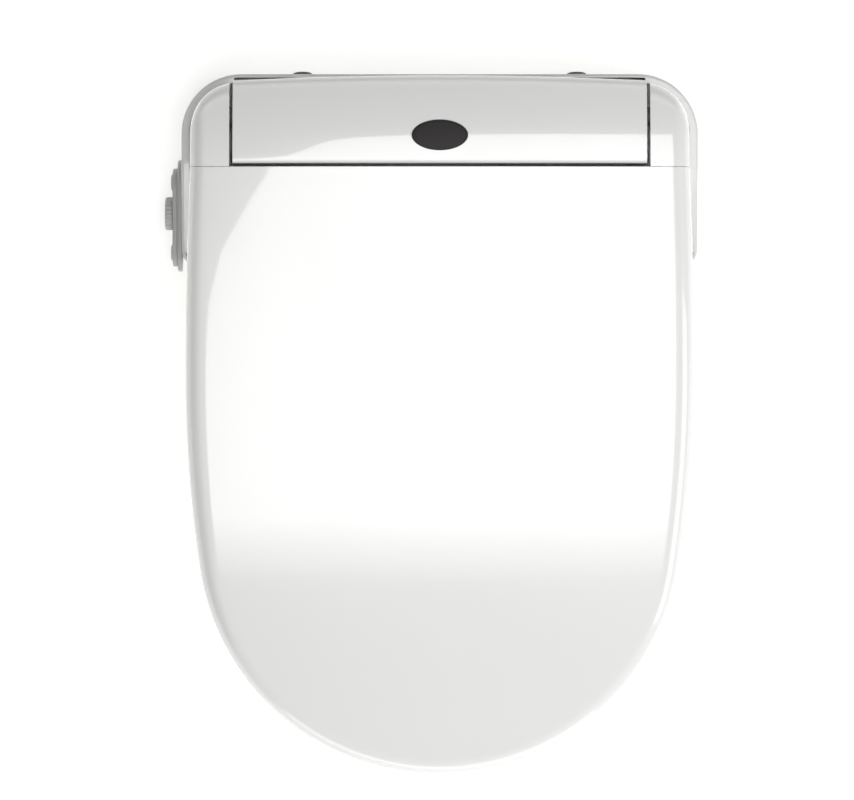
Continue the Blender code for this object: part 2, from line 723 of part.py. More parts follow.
def damper(name, side):
    """Soft-close damper: an oil-filled barrel with a flat foot, held under the centre cover."""
    outer_x = COVER_HALF_WIDTH - 0.0125
    made = rod(name, "X", (HINGE_Y, HINGE_Z), 0.012, side * (outer_x - DAMPER_LENGTH), side * outer_x,
               "black_plastic")
    cap = rod(name + "_cap", "X", (HINGE_Y, HINGE_Z), 0.0135, side * (outer_x - 0.008), side * outer_x)
    low_x, high_x = sorted((side * (outer_x - DAMPER_LENGTH + 0.010), side * (outer_x - 0.012)))
    foot = box(name + "_foot", (low_x, HINGE_Y - 0.009, DECK_TOP_Z + 0.006),
               (high_x, HINGE_Y + 0.009, HINGE_Z))
    return weld(made, cap, foot)


def mounting_plate():
    """Plate bolted to the bowl, with two lengthwise slots, onto which the seat slides."""
    made = rounded_box("mounting_plate", (-PLATE_HALF_X, -PLATE_HALF_Y, 0),
                       (PLATE_HALF_X, PLATE_HALF_Y, PLATE_THICKNESS), 0.008, "satin_white")
    slots = []
    for side in (-1, 1):
        x = side * BOLT_SPACING / 2
        slots.append(box("slot", (x - 0.011, -SLIDER_TRAVEL - 0.0125, -0.01),
                         (x + 0.011, SLIDER_TRAVEL + 0.0125, 0.02)))
    relief = rounded_box("plate_relief", (-0.045, -0.028, 0.003), (0.045, 0.028, 0.02), 0.006)
    return cut(made, relief, *slots)


def slider(name, side):
    """Block in a slot of the plate, which takes one bowl bolt and its head."""
    x = side * BOLT_SPACING / 2
    made = box(name, (x - 0.0107, -0.012, 0), (x + 0.0107, 0.012, PLATE_THICKNESS - 0.0005),
               "grey_plastic")
    hole = rod(name + "_bolt_hole", "Z", (x, 0), BOLT_HOLE / 2, -0.01, 0.02, count=20)
    head = box(name + "_head", (x - 0.0067, -0.0067, 0.004), (x + 0.0067, 0.0067, 0.02))
    return cut(made, hole, head)


BUTTON_Y = -0.002
BUTTON_Z = 0.026


def release_button():
    """Push button in the side wall that frees the seat from its mounting plate."""
    face = BASE_HALF_WIDTH - 0.0012
    made = rod("release_button", "X", (BUTTON_Y, BUTTON_Z), 0.0070, face - 0.010, face, "grey_plastic", 20,
               (face, BUTTON_Y, BUTTON_Z))
    collar = rod("release_collar", "X", (BUTTON_Y, BUTTON_Z), 0.0090, face - 0.010, face - 0.0065, count=20)
    return weld(made, collar)


BUMPER_X = 0.103
BUMPER_Z = 0.043


def rear_bumper(name, side):
    """Round soft pad on the rear wall that keeps the seat off the cistern."""
    sections = []
    for share in (0, 0.35, 0.65, 0.85, 0.96):
        y = BASE_REAR_Y + GAP + 0.0023 * share
        radius = 0.0074 * math.sqrt(1 - share ** 2 * 0.9)
        sections.append([(x, y, z) for x, z in circle((side * BUMPER_X, BUMPER_Z), radius, 20)])
    return loft(name, sections, "dark_rubber")


CONTROL_X = -(BASE_HALF_WIDTH + GAP)
CONTROL_Z = 0.026
BEZEL_CENTRE_Y = -0.0557
PANEL_CENTRE_Y = -0.057
KNOB_Y = -0.054
KNOB_RADIUS = 0.0125
KEY_RADIUS = 0.0062
KEY_Y = (-0.0305, -0.0835)
BEZEL_THICKNESS = 0.0034
PANEL_THICKNESS = 0.0034
KNOB_THICKNESS = 0.0055
PANEL_X = CONTROL_X - BEZEL_THICKNESS - GAP
KNOB_X = PANEL_X - PANEL_THICKNESS - 0.0004


def control_bezel():
    """Surround of the side control, fixed to the wall of the base."""
    outline = stadium((BEZEL_CENTRE_Y, CONTROL_Z), 0.084, 0.038)
    return prism("control_bezel", outline, "X", CONTROL_X - BEZEL_THICKNESS, CONTROL_X, "control_grey")


def control_panel():
    """Raised panel of the side control, with a hub for the knob and pockets for two keys."""
    outline = stadium((PANEL_CENTRE_Y, CONTROL_Z), 0.074, 0.031)
    made = prism("control_panel", outline, "X", PANEL_X - PANEL_THICKNESS, PANEL_X, "control_grey")
    hub = rod("knob_hub_hole", "X", (KNOB_Y, CONTROL_Z), 0.0035, PANEL_X - 0.02, PANEL_X + 0.01, count=16)
    pockets = [rod("key_pocket", "X", (y, CONTROL_Z), KEY_RADIUS + RUNNING_CLEARANCE,
                   PANEL_X - 0.02, PANEL_X - 0.0006, count=24) for y in KEY_Y]
    return cut(made, hub, *pockets)


def control_knob():
    """Dial turned with finger and thumb, with finger flutes and a stub shaft."""
    outline = []
    for i in range(48):
        turn = math.tau * i / 48
        radius = KNOB_RADIUS - 0.0006 * (i % 2)
        outline.append((KNOB_Y + radius * math.cos(turn), CONTROL_Z + radius * math.sin(turn)))
    sections = []
    for depth, size in ((0, 1), (0.7, 1), (0.92, 0.95), (1, 0.86)):
        x = KNOB_X - KNOB_THICKNESS * depth
        sections.append([(x, KNOB_Y + (y - KNOB_Y) * size, CONTROL_Z + (z - CONTROL_Z) * size)
                         for y, z in outline])
    centre = (KNOB_X, KNOB_Y, CONTROL_Z)
    made = loft("control_knob", sections, "control_grey", centre)
    stub = rod("knob_stub", "X", (KNOB_Y, CONTROL_Z), 0.003, PANEL_X - PANEL_THICKNESS + 0.0008,
               KNOB_X - 0.001, count=16)
    return weld(made, stub)


def control_key(name, y):
    """Push key of the side control."""
    centre = (KNOB_X, y, CONTROL_Z)
    sections = []
    for depth, size in ((0, 1), (0.8, 1), (1, 0.88)):
        x = PANEL_X - 0.0020 - 0.0028 * depth
        sections.append([(x, py, pz) for py, pz in circle((y, CONTROL_Z), KEY_RADIUS * size, 24)])
    return loft(name, sections, "control_grey", centre)


# ---- water path ----
FLOOR_TOP = BASE_FLOOR_Z + BASE_WALL + GAP


def water_inlet():
    """Half-inch supply connector, facing down in its well, with an elbow into the valve."""
    made = rod("water_inlet", "Z", (INLET_X, INLET_Y), INLET_RADIUS, 0.001, 0.026, "brass")
    collar = rod("inlet_collar", "Z", (INLET_X, INLET_Y), 0.0135, 0.014, 0.019)
    elbow = rod("inlet_elbow", "X", (INLET_Y, 0.026), 0.006, INLET_X - 0.001, INLET_X + 0.026, count=16)
    bore = rod("inlet_bore", "Z", (INLET_X, INLET_Y), 0.0068, -0.01, 0.016)
    weld(made, collar, elbow)
    return cut(made, bore)


VALVE_X = INLET_X + 0.032


def solenoid_valve():
    made = box("solenoid_valve", (VALVE_X - 0.0055, -0.004, FLOOR_TOP), (VALVE_X + 0.028, 0.028, 0.036),
               "grey_plastic")
    coil = rod("valve_coil", "Y", (VALVE_X + 0.011, 0.0245), 0.011, -0.030, -0.003, count=20)
    return weld(made, coil)


HEATER_STUB_Z = 0.0375


def water_heater():
    """Instant heater: a flat ceramic tank with its inlet and outlet stubs."""
    made = rounded_box("water_heater", (-0.080, -0.010, 0.048), (-0.034, 0.032, 0.098), 0.006, "foil")
    stub_in = rod("heater_inlet_stub", "Z", (-0.072, 0.004), 0.004, HEATER_STUB_Z, 0.052, count=12)
    stub_out = rod("heater_outlet_stub", "Z", (-0.044, 0.004), 0.004, HEATER_STUB_Z, 0.052, count=12)
    return weld(made, stub_in, stub_out)


# ---- nozzles ----
NOZZLE_FRONT = Vector((0, -0.083, 0.0128))
NOZZLE_DIRECTION = Vector((0, -math.cos(NOZZLE_TILT), -math.sin(NOZZLE_TILT)))
PITCH_RADIUS = TOOTH_MODULE * PINION_TEETH / 2
TOOTH_PITCH = math.pi * TOOTH_MODULE


def nozzle_frame(x):
    """Matrix with X across, Y back along the nozzle from its tip, and Z square to it."""
    back = -NOZZLE_DIRECTION
    up = Vector((1, 0, 0)).cross(back)
    turn = Matrix(((1, back.x, up.x), (0, back.y, up.y), (0, back.z, up.z))).to_4x4()
    return Matrix.Translation((x, NOZZLE_FRONT.y, NOZZLE_FRONT.z)) @ turn


def aim(made, x):
    made.matrix_world = nozzle_frame(x)
    return made


RACK_FOOT = NOZZLE_RADIUS + 0.0025
RACK_LINE = RACK_FOOT + 0.0012
RACK_START = 0.012
RACK_HALF_HEIGHT = 0.002
ADDENDUM = 0.8 * TOOTH_MODULE
DEDENDUM = 1.2 * TOOTH_MODULE
PINION_ALONG = 0.026


def rack_outline(side):
    """Plan outline of the rack, (across, along), with one trapezium for each tooth."""
    first = math.ceil((RACK_START - PINION_ALONG) / TOOTH_PITCH + 0.5)
    last = math.floor((NOZZLE_LENGTH - PINION_ALONG) / TOOTH_PITCH - 0.5)
    base = side * (NOZZLE_RADIUS - 0.002)
    points = [(base, RACK_START)]
    flanks = ((-0.85, RACK_LINE - DEDENDUM), (-0.32, RACK_LINE + ADDENDUM),
              (0.32, RACK_LINE + ADDENDUM), (0.85, RACK_LINE - DEDENDUM))
    for i in range(first, last + 1):
        middle = PINION_ALONG + TOOTH_PITCH * i
        points += [(side * across, middle + share * TOOTH_MODULE) for share, across in flanks]
    points.append((base, NOZZLE_LENGTH))
    return points


def nozzle(name, side):
    """Stainless spray wand with a rack along its outer side."""
    x = side * NOZZLE_SPACING / 2
    tube = rod(name, "Y", (0, 0), NOZZLE_RADIUS, 0.008, NOZZLE_LENGTH, "steel", 20)
    rack = prism(name + "_rack", rack_outline(side), "Z", -RACK_HALF_HEIGHT, RACK_HALF_HEIGHT)
    weld(tube, rack)
    aim(rack, x)
    return aim(tube, x)


def nozzle_tip(name, side):
    """Push-on spray head that closes the front of the wand."""
    sections = []
    for along, radius in ((0, 0.0035), (0.0015, 0.0056), (0.004, 0.0062), (0.0077, 0.0062)):
        sections.append([(px, along, pz) for px, pz in circle((0, 0), radius, 20)])
    return aim(loft(name, sections, "satin_white"), side * NOZZLE_SPACING / 2)


def pinion_place(side):
    """Frame at a pinion's centre, with Z along its shaft."""
    across = side * (NOZZLE_SPACING / 2 + RACK_LINE + PITCH_RADIUS)
    return nozzle_frame(across) @ Matrix.Translation((0, PINION_ALONG, 0))


def place_all(frame, *pieces):
    for piece in pieces:
        piece.matrix_world = frame
    return pieces[0]


def pinion(name, side):
    """Drive gear on the nozzle motor's shaft, in mesh with the rack at rest."""
    towards_rack = math.pi if side > 0 else 0
    outline = []
    for i in range(PINION_TEETH):
        middle = towards_rack + math.tau * (i + 0.5) / PINION_TEETH
        for turn, radius in ((-0.15, PITCH_RADIUS - DEDENDUM), (-0.05, PITCH_RADIUS + ADDENDUM),
                             (0.05, PITCH_RADIUS + ADDENDUM), (0.15, PITCH_RADIUS - DEDENDUM)):
            outline.append((radius * math.cos(middle + turn), radius * math.sin(middle + turn)))
    made = prism(name, outline, "Z", -0.0025, 0.0025, "satin_white")
    bore = rod(name + "_bore", "Z", (0, 0), 0.0021, -0.01, 0.01, count=16)
    cut(made, bore)
    return place_all(pinion_place(side), made, bore)


def nozzle_motor(name, side):
    """Stepper motor over the pinion, with its shaft through the pinion's bore."""
    can = rod(name, "Z", (0, 0), 0.0085, 0.0032, 0.0130, "steel")
    shaft = rod(name + "_shaft", "Z", (0, 0), 0.0018, -0.0024, 0.0040, count=12)
    weld(can, shaft)
    return place_all(pinion_place(side), can, shaft)


def nozzle_cradle():
    """Sloping guide with a channel for each wand, standing on the floor of the base."""
    half = NOZZLE_SPACING / 2 + NOZZLE_RADIUS
    made = box("nozzle_cradle", (-half, 0.040, -NOZZLE_RADIUS - 0.003),
               (half, NOZZLE_LENGTH - 0.004, -0.0026), "satin_white")
    channels = [rod("channel", "Y", (side * NOZZLE_SPACING / 2, 0), NOZZLE_RADIUS + RUNNING_CLEARANCE,
                    -0.1, 0.2) for side in (-1, 1)]
    frame = nozzle_frame(0)
    place_all(frame, made, *channels)
    legs = []
    for along in (0.046, NOZZLE_LENGTH - 0.018):
        under = frame @ Vector((0, along, -NOZZLE_RADIUS - 0.002))
        legs.append(box("cradle_leg", (-half + 0.004, under.y - 0.004, FLOOR_TOP),
                        (half - 0.004, under.y + 0.004, under.z)))
    bpy.context.view_layer.update()
    for leg in legs:
        leg.data.transform(frame.inverted())
        leg.matrix_world = frame
    weld(made, *legs)
    return cut(made, *channels)


# ---- dryer and deodoriser ----
BLOWER_X = 0.056
BLOWER_Y = 0.012
BLOWER_RADIUS = 0.027
BLOWER_Z = (0.049, 0.084)
IMPELLER_RADIUS = 0.019
DUCT_REAR_Y = -0.002
DUCT_HALF = 0.017
DUCT_X = (OUTLET_X[0] + OUTLET_X[1]) / 2


def blower_housing():
    """Fan scroll on the floor of the base, with a duct that leads forward to the warm-air outlet."""
    made = rod("blower_housing", "Z", (BLOWER_X, BLOWER_Y), BLOWER_RADIUS, *BLOWER_Z, "grey_plastic", 32)
    drop = box("duct_drop", (DUCT_X - DUCT_HALF, -0.0145, OUTLET_Z[0]), (DUCT_X + DUCT_HALF, DUCT_REAR_Y, 0.075))
    duct = box("duct", (DUCT_X - DUCT_HALF, BASE_FRONT_Y + BASE_WALL + 0.006, OUTLET_Z[0]),
               (DUCT_X + DUCT_HALF, DUCT_REAR_Y - 0.001, OUTLET_Z[1] + 0.002))
    wall = 0.002
    inside = rod("blower_hollow", "Z", (BLOWER_X, BLOWER_Y), BLOWER_RADIUS - wall, BLOWER_Z[0] + wall,
                 BLOWER_Z[1] - wall, count=32)
    eye = rod("blower_eye", "Z", (BLOWER_X, BLOWER_Y), 0.014, BLOWER_Z[1] - 0.01, BLOWER_Z[1] + 0.01)
    shaft_hole = rod("blower_shaft_hole", "Z", (BLOWER_X, BLOWER_Y), 0.003, BLOWER_Z[0] - 0.01,
                     BLOWER_Z[0] + 0.01, count=16)
    drop_in = box("drop_hollow", (DUCT_X - DUCT_HALF + wall, -0.0145 + wall, OUTLET_Z[0] + wall),
                  (DUCT_X + DUCT_HALF - wall, DUCT_REAR_Y - wall, 0.075 - wall))
    duct_in = box("duct_hollow", (DUCT_X - DUCT_HALF + wall, BASE_FRONT_Y - 0.01, OUTLET_Z[0] + wall),
                  (DUCT_X + DUCT_HALF - wall, DUCT_REAR_Y - wall - 0.0005, OUTLET_Z[1] + 0.002 - wall))
    weld(made, drop, duct)
    return cut(made, inside, eye, shaft_hole, drop_in, duct_in)


def impeller():
    """Fan wheel: a disc, a hub and a ring of blades."""
    low = BLOWER_Z[0] + 0.004
    made = rod("blower_impeller", "Z", (BLOWER_X, BLOWER_Y), IMPELLER_RADIUS, low, low + 0.002,
               "black_plastic", 24, (BLOWER_X, BLOWER_Y, low))
    hub = rod("impeller_hub", "Z", (BLOWER_X, BLOWER_Y), 0.006, low, low + 0.012, count=16)
    bore = rod("impeller_bore", "Z", (BLOWER_X, BLOWER_Y), 0.0024, low - 0.01, low + 0.02, count=12)
    blades = []
    for i in range(11):
        blade = box("blade", (0.0045, -0.0005, 0.001), (IMPELLER_RADIUS - 0.0005, 0.0005, 0.024))
        turn = Matrix.Rotation(math.tau * i / 11, 4, "Z")
        blade.matrix_world = Matrix.Translation((BLOWER_X, BLOWER_Y, low)) @ turn
        blades.append(blade)
    weld(made, hub, *blades)
    return cut(made, bore)


def blower_motor():
    """Motor under the fan scroll, with its shaft up through the wheel's bore."""
    made = rod("blower_motor", "Z", (BLOWER_X, BLOWER_Y), 0.0105, FLOOR_TOP + 0.012, BLOWER_Z[0] - GAP,
               "steel", 20)
    shaft = rod("blower_shaft", "Z", (BLOWER_X, BLOWER_Y), 0.0020, BLOWER_Z[0] - 0.001,
                BLOWER_Z[0] + 0.014, count=12)
    foot = box("motor_foot", (BLOWER_X - 0.010, BLOWER_Y - 0.006, FLOOR_TOP),
               (BLOWER_X + 0.010, BLOWER_Y + 0.006, FLOOR_TOP + 0.013))
    return weld(made, shaft, foot)


FLAP_HINGE = (DUCT_X, BASE_FRONT_Y + BASE_WALL + 0.0035, OUTLET_Z[1] - 0.0025)


def dryer_flap():
    """Shutter of the warm-air outlet, hinged along its top edge inside the front wall."""
    y = BASE_FRONT_Y + BASE_WALL + 0.0035
    low = (OUTLET_X[0] + 0.001, y - 0.001, OUTLET_Z[0] + 0.0015)
    high = (OUTLET_X[1] - 0.001, y + 0.001, OUTLET_Z[1] - 0.0015)
    made = box("dryer_flap", low, high, "satin_white", FLAP_HINGE)
    pin = rod("flap_pin", "X", (FLAP_HINGE[1], FLAP_HINGE[2]), 0.0016, low[0], high[0], count=12)
    return weld(made, pin)


def deodoriser_fan():
    """Small axial fan housing behind the intake slots, with its rotor's well."""
    x = (INTAKE_X[0] + INTAKE_X[1]) / 2
    y = BASE_FRONT_Y + BASE_WALL + 0.012
    made = box("deodoriser_housing", (x - 0.0128, y, FLOOR_TOP), (x + 0.0128, y + 0.010, 0.0374),
               "black_plastic")
    well = rod("deodoriser_well", "Y", (x, 0.0246), 0.0112, y - 0.01, y + 0.0085)
    return cut(made, well)


def deodoriser_rotor():
    x = (INTAKE_X[0] + INTAKE_X[1]) / 2
    y = BASE_FRONT_Y + BASE_WALL + 0.0125
    centre = (x, y, 0.0246)
    made = rod("deodoriser_rotor", "Y", (x, 0.0246), 0.0042, y, y + 0.006, "black_plastic", 16, centre)
    blades = []
    for i in range(5):
        blade = box("rotor_blade", (0.003, 0, -0.0022), (0.0104, 0.001, 0.0022))
        blade.matrix_world = (Matrix.Translation((x, y + 0.0025, 0.0246))
                              @ Matrix.Rotation(math.tau * i / 5, 4, "Y"))
        blades.append(blade)
    return weld(made, *blades)


def filter_cartridge():
    """Deodoriser filter drawer, pulled out sideways by its face."""
    margin = 0.0004
    face = BASE_HALF_WIDTH - 0.0008
    low = (face - 0.052, FILTER_Y[0] + margin, FILTER_Z[0] + margin)
    high = (face, FILTER_Y[1] - margin, FILTER_Z[1] - margin)
    made = box("filter_cartridge", low, high, "grey_plastic")
    tray = box("filter_tray", (low[0] + 0.002, low[1] + 0.002, low[2] + 0.002),
               (high[0] - 0.006, high[1] - 0.002, high[2] + 0.01))
    grip = box("filter_grip", (high[0] - 0.003, low[1] + 0.012, low[2] - 0.01),
               (high[0] + 0.01, high[1] - 0.012, low[2] + 0.006))
    return cut(made, tray, grip)


# ---- electronics ----
def circuit_board(name, low, high, parts):
    """A board with its tallest parts as blocks; parts are (low corner, high corner) pairs."""
    made = box(name, low, high, "circuit")
    blocks = [box(name + "_part", start, end) for start, end in parts]
    return weld(made, *blocks)


def main_board():
    z = 0.088
    low = (0.026, -0.012, z)
    return circuit_board("main_board", low, (0.066, 0.034, z + 0.0016),
                         [((0.032, 0.004, z + 0.001), (0.046, 0.018, z + 0.005)),
                          ((0.052, 0.012, z + 0.001), (0.062, 0.022, z + 0.010)),
                          ((0.030, 0.024, z + 0.001), (0.060, 0.031, z + 0.007))])


def power_board():
    z = FLOOR_TOP + 0.003
    x = BASE_HALF_WIDTH - 0.0615
    return circuit_board("power_board", (x, -0.012, z), (x + 0.046, 0.034, z + 0.0016),
                         [((x + 0.006, 0.004, z + 0.001), (x + 0.028, 0.028, z + 0.018)),
                          ((x + 0.032, -0.006, z + 0.001), (x + 0.040, 0.002, z + 0.014))])


def cord_gland():
    """Clamping bush in the rear wall where the mains lead enters; no lead is modelled."""
    made = rod("cord_gland", "Y", (CORD_X, CORD_Z), 0.0062, 0.0385, BASE_REAR_Y - 0.0002, "black_plastic", 20)
    bore = rod("gland_bore", "Y", (CORD_X, CORD_Z), 0.0036, 0.0, 0.1, count=16)
    nut = rod("gland_nut", "Y", (CORD_X, CORD_Z), 0.0085, 0.0385, 0.0435, count=6)
    weld(made, nut)
    return cut(made, bore)


# ---- build ----
RING_FRONT = HOLE_CENTRE_Y - HOLE_HALF_LENGTH - TIP_Y   # length of the ring in front of its hole
SEAT_FOOT_PLACES = (("front", 0.45 * LID_HALF_WIDTH, TIP_Y + 0.80 * RING_FRONT),
                    ("side", LID_HALF_WIDTH - 0.0444, LID_WIDEST_Y - 0.008))
LID_BUMPER_X = 0.40 * LID_HALF_WIDTH
LID_BUMPER_Y = TIP_Y + 0.67 * RING_FRONT


def build():
    clear_scene()
    lid_shell()
    lid_liner()
    seat_upper_shell()
    seat_lower_shell()
    seat_heater_mat()
    for word, side in (("left", 1), ("right", -1)):
        ear("hinge_ear_" + word, side)
        lid_arm("lid_arm_" + word, side)
        seat_lug("seat_lug_" + word, side)
        hinge_bush("hinge_bush_" + word, side)
        rear_bumper("rear_bumper_" + word, side)
        slider("bolt_slider_" + word, side)
        for place, x, y in SEAT_FOOT_PLACES:
            rubber_foot("seat_foot_" + place + "_" + word, side * x, y, seat_bottom(y) - GAP, 0,
                        0.010, "pale_rubber", SEAT_BOTTOM_SLOPE)
        lid_bumper("lid_bumper_" + word, side * LID_BUMPER_X, LID_BUMPER_Y)
    hinge_shaft("lid_hinge_shaft", 1)
    hinge_shaft("seat_hinge_shaft", -1)
    damper("lid_damper", 1)
    damper("seat_damper", -1)
    base_lower()
    base_deck()
    rear_cover()
    sensor_window()
    mounting_plate()
    release_button()
    control_bezel()
    control_panel()
    control_knob()
    control_key("stop_key", KEY_Y[0])
    control_key("power_key", KEY_Y[1])
    water_inlet()
    solenoid_valve()
    water_heater()
    for word, side in (("rear_wash", -1), ("front_wash", 1)):
        nozzle(word + "_nozzle", side)
        nozzle_tip(word + "_tip", side)
        pinion(word + "_pinion", side)
        nozzle_motor(word + "_motor", side)
    nozzle_cradle()
    blower_housing()
    impeller()
    blower_motor()
    dryer_flap()
    deodoriser_fan()
    deodoriser_rotor()
    filter_cartridge()
    main_board()
    power_board()
    cord_gland()


build()
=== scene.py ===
import math

import bmesh
import bpy
from mathutils import Matrix, Vector


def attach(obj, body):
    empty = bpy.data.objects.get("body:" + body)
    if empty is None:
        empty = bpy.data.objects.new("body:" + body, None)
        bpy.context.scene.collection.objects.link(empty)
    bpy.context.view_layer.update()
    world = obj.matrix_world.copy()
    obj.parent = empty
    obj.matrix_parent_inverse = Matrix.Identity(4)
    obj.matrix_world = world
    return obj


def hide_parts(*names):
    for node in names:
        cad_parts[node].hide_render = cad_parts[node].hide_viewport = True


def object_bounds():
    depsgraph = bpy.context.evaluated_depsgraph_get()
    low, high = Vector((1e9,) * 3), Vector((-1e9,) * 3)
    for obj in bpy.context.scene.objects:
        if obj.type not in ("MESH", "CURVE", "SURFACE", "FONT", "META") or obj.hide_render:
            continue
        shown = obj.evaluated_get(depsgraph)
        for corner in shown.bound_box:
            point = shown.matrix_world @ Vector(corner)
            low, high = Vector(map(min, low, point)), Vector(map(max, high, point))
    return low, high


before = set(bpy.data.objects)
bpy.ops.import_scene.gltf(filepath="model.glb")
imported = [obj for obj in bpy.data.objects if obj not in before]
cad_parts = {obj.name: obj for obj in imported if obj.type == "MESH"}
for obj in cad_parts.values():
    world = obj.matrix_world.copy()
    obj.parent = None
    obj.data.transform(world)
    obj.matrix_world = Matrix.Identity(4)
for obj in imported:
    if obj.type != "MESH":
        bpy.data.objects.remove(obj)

cad_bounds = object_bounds()


# ---- Studio: camera straight above the seat, with its rear edge at the top ----
# A long lens keeps the sides upright. The seat fills most of the frame's height, a little to the
# right of the middle.
VIEW_WIDTH = 0.6348
VIEW_CENTRE = Vector((-0.0095, -0.1945, 0.1))
CAMERA_DISTANCE = 5.2
SENSOR_WIDTH = 0.036

camera_data = bpy.data.cameras.new("camera")
camera_data.sensor_width = SENSOR_WIDTH * 1000
camera_data.lens = SENSOR_WIDTH * 1000 * CAMERA_DISTANCE / VIEW_WIDTH
camera_data.clip_end = 30
camera = bpy.data.objects.new("camera", camera_data)
camera.location = VIEW_CENTRE + Vector((0, 0, CAMERA_DISTANCE))
bpy.context.scene.collection.objects.link(camera)
bpy.context.scene.camera = camera
bpy.context.scene.view_settings.view_transform = "Standard"


# ---- Studio light: a big overhead panel, two strips and an even pale room ----
# The overhead panel gives the broad white sheen on the top. Its left side is cut back in a long
# curve towards the rear. The strips catch the front and right rims of the seat.
PANEL_HEIGHT = 1.5
PANEL_RIGHT_X = 0.50
PANEL_LEFT_X = -0.46
PANEL_FRONT_Y = -0.70
EDGE_SHEETS = 5
EDGE_DEPTH = 0.022
PANEL_GLOW = 3.8
FRONT_STRIP_GLOW = 2.2
RIGHT_STRIP_GLOW = 2.5
ROOM_GLOW = 0.45


def light_panel(name, outline, place, strength):
    """A flat glowing sheet that the camera itself doesn't see."""
    material = bpy.data.materials.new(name)
    material.use_nodes = True
    shader = material.node_tree.nodes["Principled BSDF"]
    shader.inputs["Base Color"].default_value = (0, 0, 0, 1)
    shader.inputs["Emission Color"].default_value = (1, 1, 1, 1)
    shader.inputs["Emission Strength"].default_value = strength
    panel_mesh = bpy.data.meshes.new(name)
    panel_mesh.from_pydata([(*point, 0) for point in outline], [], [range(len(outline))])
    panel_mesh.materials.append(material)
    panel = bpy.data.objects.new(name, panel_mesh)
    panel.matrix_world = place
    panel.visible_camera = False
    bpy.context.scene.collection.objects.link(panel)


def rectangle(width, height):
    corners = [(-0.5, -0.5), (0.5, -0.5), (0.5, 0.5), (-0.5, 0.5)]
    return [(width * across, height * up) for across, up in corners]


overhead = Matrix.Translation((0, 0, PANEL_HEIGHT))
panel_outline = [(0.47, 0.34), (PANEL_RIGHT_X, 0.00), (PANEL_RIGHT_X, PANEL_FRONT_Y),
                 (PANEL_LEFT_X, PANEL_FRONT_Y), (-0.455, -0.45), (-0.435, -0.33), (-0.40, -0.25),
                 (-0.335, -0.18), (-0.266, -0.11), (-0.235, -0.01), (-0.215, 0.07), (-0.19, 0.14),
                 (-0.16, 0.23), (-0.11, 0.29), (-0.02, 0.325), (0.10, 0.34)]
light_panel("overhead_panel", panel_outline, overhead, PANEL_GLOW)

# Narrow sheets beyond the panel's front edge glow less and less, so that the sheen ends softly.
for step in range(EDGE_SHEETS):
    low = PANEL_FRONT_Y - EDGE_DEPTH * (step + 1)
    sheet = [(PANEL_RIGHT_X, low + EDGE_DEPTH), (PANEL_RIGHT_X, low), (PANEL_LEFT_X, low),
             (PANEL_LEFT_X, low + EDGE_DEPTH)]
    light_panel(f"panel_edge_{step + 1}", sheet, overhead, PANEL_GLOW * (0.80 - 0.17 * step))

front_place = Matrix.Translation((0, -2.0, 0.32)) @ Matrix.Rotation(math.radians(90), 4, "X")
light_panel("front_strip", rectangle(2.4, 0.56), front_place, FRONT_STRIP_GLOW)
right_place = (Matrix.Translation((1.3, -0.70, 0.78)) @ Matrix.Rotation(math.radians(90), 4, "Z")
               @ Matrix.Rotation(math.radians(62), 4, "X"))
light_panel("right_strip", rectangle(0.90, 0.75), right_place, RIGHT_STRIP_GLOW)

# Dark cards behind and at the left keep a gentle shade on the rear and left flanks.
rear_place = Matrix.Translation((0, 1.3, 0.95)) @ Matrix.Rotation(math.radians(90), 4, "X")
light_panel("rear_card", rectangle(3.0, 1.2), rear_place, 0)
left_place = (Matrix.Translation((-1.4, -0.2, 0.80)) @ Matrix.Rotation(math.radians(90), 4, "Z")
              @ Matrix.Rotation(math.radians(90), 4, "X"))
light_panel("left_card", rectangle(2.4, 1.3), left_place, 0)

world = bpy.data.worlds.new("pale_room")
world.use_nodes = True
world.node_tree.nodes["Background"].inputs["Color"].default_value = (1, 1, 0.992, 1)
world.node_tree.nodes["Background"].inputs["Strength"].default_value = ROOM_GLOW
bpy.context.scene.world = world


# ---- Floor: a plain pale sweep under the seat ----
# Matt painted board that glows a little. It stays clean and even, so only the seat's soft shadow
# shows on it.
FLOOR_COLOUR = (0.90, 0.90, 0.885)
FLOOR_REACH = 6
FLOOR_DROP = 0.0002


class Value:
    """One output of a shader node. Sums, products and so on of values add Math nodes."""

    def __init__(self, finish, socket):
        self.finish = finish
        self.socket = socket

    def maths(self, operation, *terms):
        return self.finish.node("ShaderNodeMath", {"operation": operation}, dict(enumerate(terms)))

    def __add__(self, other):
        return self.maths("ADD", self, other)

    def __radd__(self, other):
        return self.maths("ADD", other, self)

    def __sub__(self, other):
        return self.maths("SUBTRACT", self, other)

    def __rsub__(self, other):
        return self.maths("SUBTRACT", other, self)

    def __mul__(self, other):
        return self.maths("MULTIPLY", self, other)

    def __rmul__(self, other):
        return self.maths("MULTIPLY", other, self)


